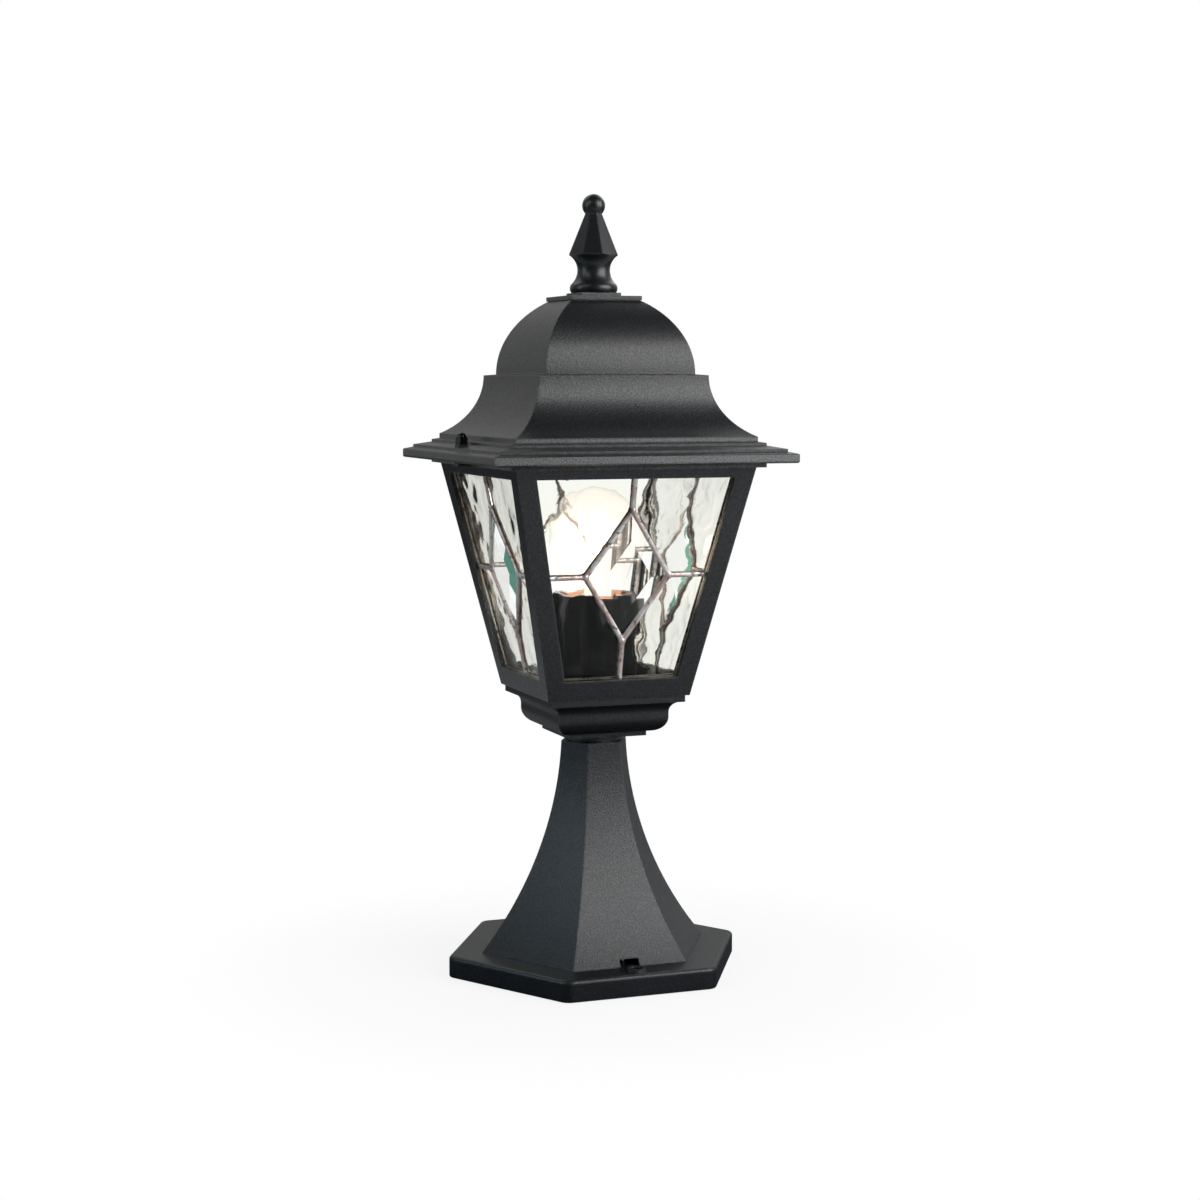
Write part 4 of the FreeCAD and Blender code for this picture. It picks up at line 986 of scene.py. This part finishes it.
@dataclass
class Fittings:
    """The frame's own nodes, with their finishes."""

    def build(self) -> None:
        """Dresses every node that keeps its own shape."""
        coat = PowderCoat().material()
        plain = {
            "cable_grommet": Moulded("black_rubber", (0.02, 0.02, 0.02), (0.035, 0.035, 0.035), 0.7),
            "lampholder_base": Moulded("holder_plastic", (0.012, 0.012, 0.012), (0.02, 0.02, 0.02), 0.35),
            "lampholder_core": Moulded("porcelain", (0.86, 0.84, 0.79), (0.78, 0.75, 0.7), 0.15),
            "terminal_block": Moulded("block_plastic", (0.78, 0.78, 0.73), (0.7, 0.69, 0.63), 0.45),
            "live_lead": Moulded("brown_insulation", (0.16, 0.06, 0.025), (0.12, 0.045, 0.02), 0.45),
            "neutral_lead": Moulded("blue_insulation", (0.02, 0.07, 0.3), (0.015, 0.05, 0.22), 0.45),
            "earth_lead": Moulded("green_yellow_insulation", (0.08, 0.3, 0.04), (0.5, 0.42, 0.03), 0.45),
        }
        for node, finish in plain.items():
            dress(node, finish.material())
        # The sleeve's rim carries painted warm light from the bulb.
        sleeve = Moulded("sleeve_plastic", (0.002, 0.0022, 0.0024), (0.003, 0.003, 0.003), gloss=0.14, sheen=0.4,
                         skin=6.0, skin_rise=0.004, painted_bulb_light=(0.4, 0.2, 0.14), bulb_light_radius=0.0257)
        dress("lampholder_cover", sleeve.material())
        for node in ("neck_collar", "roof_studs"):
            dress(node, coat)
        cool = PowderCoat("cool_black_coat", dark=(0.001, 0.0028, 0.0046), pale=(0.004, 0.0078, 0.013),
                          film=0.42).material()
        for node in ("base_plate", "pedestal_column"):
            dress(node, cool)
        dress("lantern_body", PowderCoat("body_black_coat", film=0.75, thin_below=183.0).material())
        dress("roof", PowderCoat("drafted_black_coat", drafts=((333.0, 339.0), (346.2, 349.2))).material())
        dress("finial", PowderCoat("smooth_black_coat", speckle=0.15, grain_rise=0.05).material())
        black = Moulded("glossy_black", (0.004, 0.004, 0.004), (0.007, 0.007, 0.007), 0.22)
        dress("roof_nuts", black.material())
        steel = BareMetal("plated_steel", (0.62, 0.62, 0.6), (0.5, 0.5, 0.47)).material()
        for node in ("column_screws", "threaded_tube", "tube_washers", "tube_nuts", "glass_clips",
                     "clip_screws", "finial_stud", "finial_washer", "finial_nut", "earth_screw"):
            dress(node, steel)
        brass = BareMetal("plain_brass", (0.72, 0.52, 0.22), (0.55, 0.38, 0.15)).material()
        for node in ("lampholder_shell", "lampholder_contact", "terminal_screws"):
            dress(node, brass)
        # Brass given a much darker colour than the plain brass.
        dark_brass = BareMetal("dark_brass_finish", (0.1, 0.075, 0.045), (0.06, 0.045, 0.03), 0.5)
        dress("earth_tag", dark_brass.material())


@dataclass(frozen=True)
class SoftBox:
    """One soft lamp: its direction in degrees, its distance and size in metres, and its brightness."""

    name: str
    turn: float
    lift: float
    distance: float
    width: float
    height: float
    brightness: float
    tone: Colour = (1.0, 1.0, 1.0)


@dataclass
class Studio:
    """Pale floor, soft lamps and the camera, in metres and degrees.

    Matt surfaces see the room, glossy ones a dark room with a pale backdrop behind the lantern. The floor is
    dark to glossy surfaces near the lantern and pale further out.
    """

    room: float = 0.2
    dark_room: float = 0.035
    backdrop: float = 0.32
    floor_radius: float = 6.0
    floor_drop: float = 0.0004
    floor_near: Colour = (0.03, 0.036, 0.045)
    floor_far: Colour = (0.44, 0.46, 0.48)
    shadow_share: float = 0.14
    distance: float = 1.497
    target_level: float = 0.25
    yaw: float = 20.40
    pitch: float = 5.16
    lens: float = 68.88
    sensor: float = 36.0
    shift_x: float = 0.0053
    shift_y: float = -0.0106
    lamps: tuple[SoftBox, ...] = (
        SoftBox("right_lamp", -48, 23, 1.5, 1.3, 1.1, 4.4),
        SoftBox("left_lamp", 178, 18, 1.5, 0.4, 1.0, 2.9, (0.72, 0.89, 1.0)),
        SoftBox("rim_lamp", 30, 54, 1.7, 1.2, 0.8, 0.5),
        SoftBox("back_lamp", 105, 48, 1.6, 1.3, 0.7, 0.9, (1.0, 1.0, 0.94)),
        SoftBox("near_lamp", 207, 38, 1.6, 0.6, 0.7, 1.4),
        SoftBox("far_lamp", 44, 33, 1.6, 0.7, 0.6, 1.5),
    )

    def camera(self) -> None:
        """Sets the camera where the photograph was taken from."""
        yaw, pitch = math.radians(self.yaw), math.radians(self.pitch)
        back = Vector((-math.sin(yaw) * math.cos(pitch), -math.cos(yaw) * math.cos(pitch), math.sin(pitch)))
        bpy.ops.object.camera_add()
        made = bpy.context.object
        made.name = "photo_camera"
        turn = (-back).to_track_quat("-Z", "Y").to_matrix().to_4x4()
        spot = Vector((0, 0, self.target_level)) + back * self.distance
        made.matrix_world = Matrix.Translation(spot) @ turn
        made.data.lens = self.lens
        made.data.sensor_width = self.sensor
        made.data.shift_x = self.shift_x
        made.data.shift_y = self.shift_y
        bpy.context.scene.camera = made

    def lamp(self, lamp: SoftBox) -> None:
        """Adds one soft lamp that faces the lantern."""
        bpy.ops.object.light_add(type="AREA")
        made = bpy.context.object
        made.name = lamp.name
        made.data.shape = "RECTANGLE"
        made.data.size, made.data.size_y = lamp.width, lamp.height
        made.data.energy = lamp.brightness * math.pi * lamp.width * lamp.height
        made.data.color = lamp.tone
        turn, lift = math.radians(lamp.turn), math.radians(lamp.lift)
        way = Vector((math.cos(turn) * math.cos(lift), math.sin(turn) * math.cos(lift), math.sin(lift)))
        made.location = Vector((0, 0, self.target_level)) + way * lamp.distance
        made.rotation_euler = way.to_track_quat("Z", "Y").to_euler()

    def world(self) -> None:
        """Lights the room softly: white to the eye and through glass, a pale backdrop behind the lamp."""
        world = bpy.data.worlds.new("soft_room")
        bpy.context.scene.world = world
        recipe = Recipe(world)
        camera, through, glossy = (recipe.node("ShaderNodeLightPath", output=f"Is {word} Ray")
                                   for word in ("Camera", "Transmission", "Glossy"))
        yaw = math.radians(self.yaw)
        way = recipe.node("ShaderNodeTexCoord", output="Generated")
        behind = recipe.node("ShaderNodeVectorMath", {"operation": "DOT_PRODUCT"},
                             {0: way, 1: (math.sin(yaw), math.cos(yaw), 0.0)}, "Value")
        lift = recipe.node("ShaderNodeSeparateXYZ", None, {0: way}, "Z")
        pale = behind.ramp(-0.1, 0.7) * lift.ramp(0.75, 0.3)
        mirrored = self.dark_room + pale * (self.backdrop - self.dark_room)
        white = camera.highest(through)
        strength = white + (1 - white) * (glossy * mirrored + (1 - glossy) * self.room)
        inputs = {"Color": (1.0, 1.0, 1.0), "Strength": strength}
        recipe.finish(recipe.node("ShaderNodeBackground", None, inputs))

    def floor(self) -> None:
        """Lays a pale floor that keeps the shadow and fades to white."""
        Bench.clear()
        bpy.ops.mesh.primitive_circle_add(vertices=64, radius=self.floor_radius, fill_type="NGON",
                                          location=(0, 0, -self.floor_drop))
        made = Bench.take("studio_floor")
        recipe = Recipe.named("pale_floor")
        here = recipe.place((1.0, 1.0, 0.0))
        far = recipe.node("ShaderNodeVectorMath", {"operation": "LENGTH"}, {0: here}, "Value")
        matt = recipe.coat({"Base Color": (0.9, 0.9, 0.9), "Roughness": 0.9})
        white = recipe.node("ShaderNodeEmission", None, {"Color": (1.0, 1.0, 1.0), "Strength": 1.0})
        camera, through, glossy = (recipe.node("ShaderNodeLightPath", output=f"Is {word} Ray")
                                   for word in ("Camera", "Transmission", "Glossy"))
        seen = camera.highest(through)
        tone = recipe.blend(far.ramp(0.22, 0.5) * far.ramp(1.3, 0.7), self.floor_near, self.floor_far)
        dull = recipe.coat({"Base Color": tone, "Roughness": 0.9})
        lit = recipe.node("ShaderNodeMixShader", None, {0: glossy - through, 1: matt, 2: dull})
        share = seen * ((1 - self.shadow_share) + far.ramp(0.1, 0.3) * self.shadow_share)
        surface = recipe.node("ShaderNodeMixShader", None, {0: share, 1: lit, 2: white})
        made.data.materials.append(recipe.finish(surface))

    def build(self) -> None:
        """Sets up the room."""
        self.camera()
        self.world()
        self.floor()
        for lamp in self.lamps:
            self.lamp(lamp)
        bpy.context.scene.view_settings.view_transform = "Standard"


def main() -> None:
    """Builds and dresses the lantern, then the room."""
    logging.basicConfig(level=logging.INFO, format="%(name)s: %(message)s")
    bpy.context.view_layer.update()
    for group in (Fittings(), Panes(), Bulb(), Studio()):
        LOG.info("building %s", type(group).__name__)
        group.build()


if __name__ == "__main__":
    main()
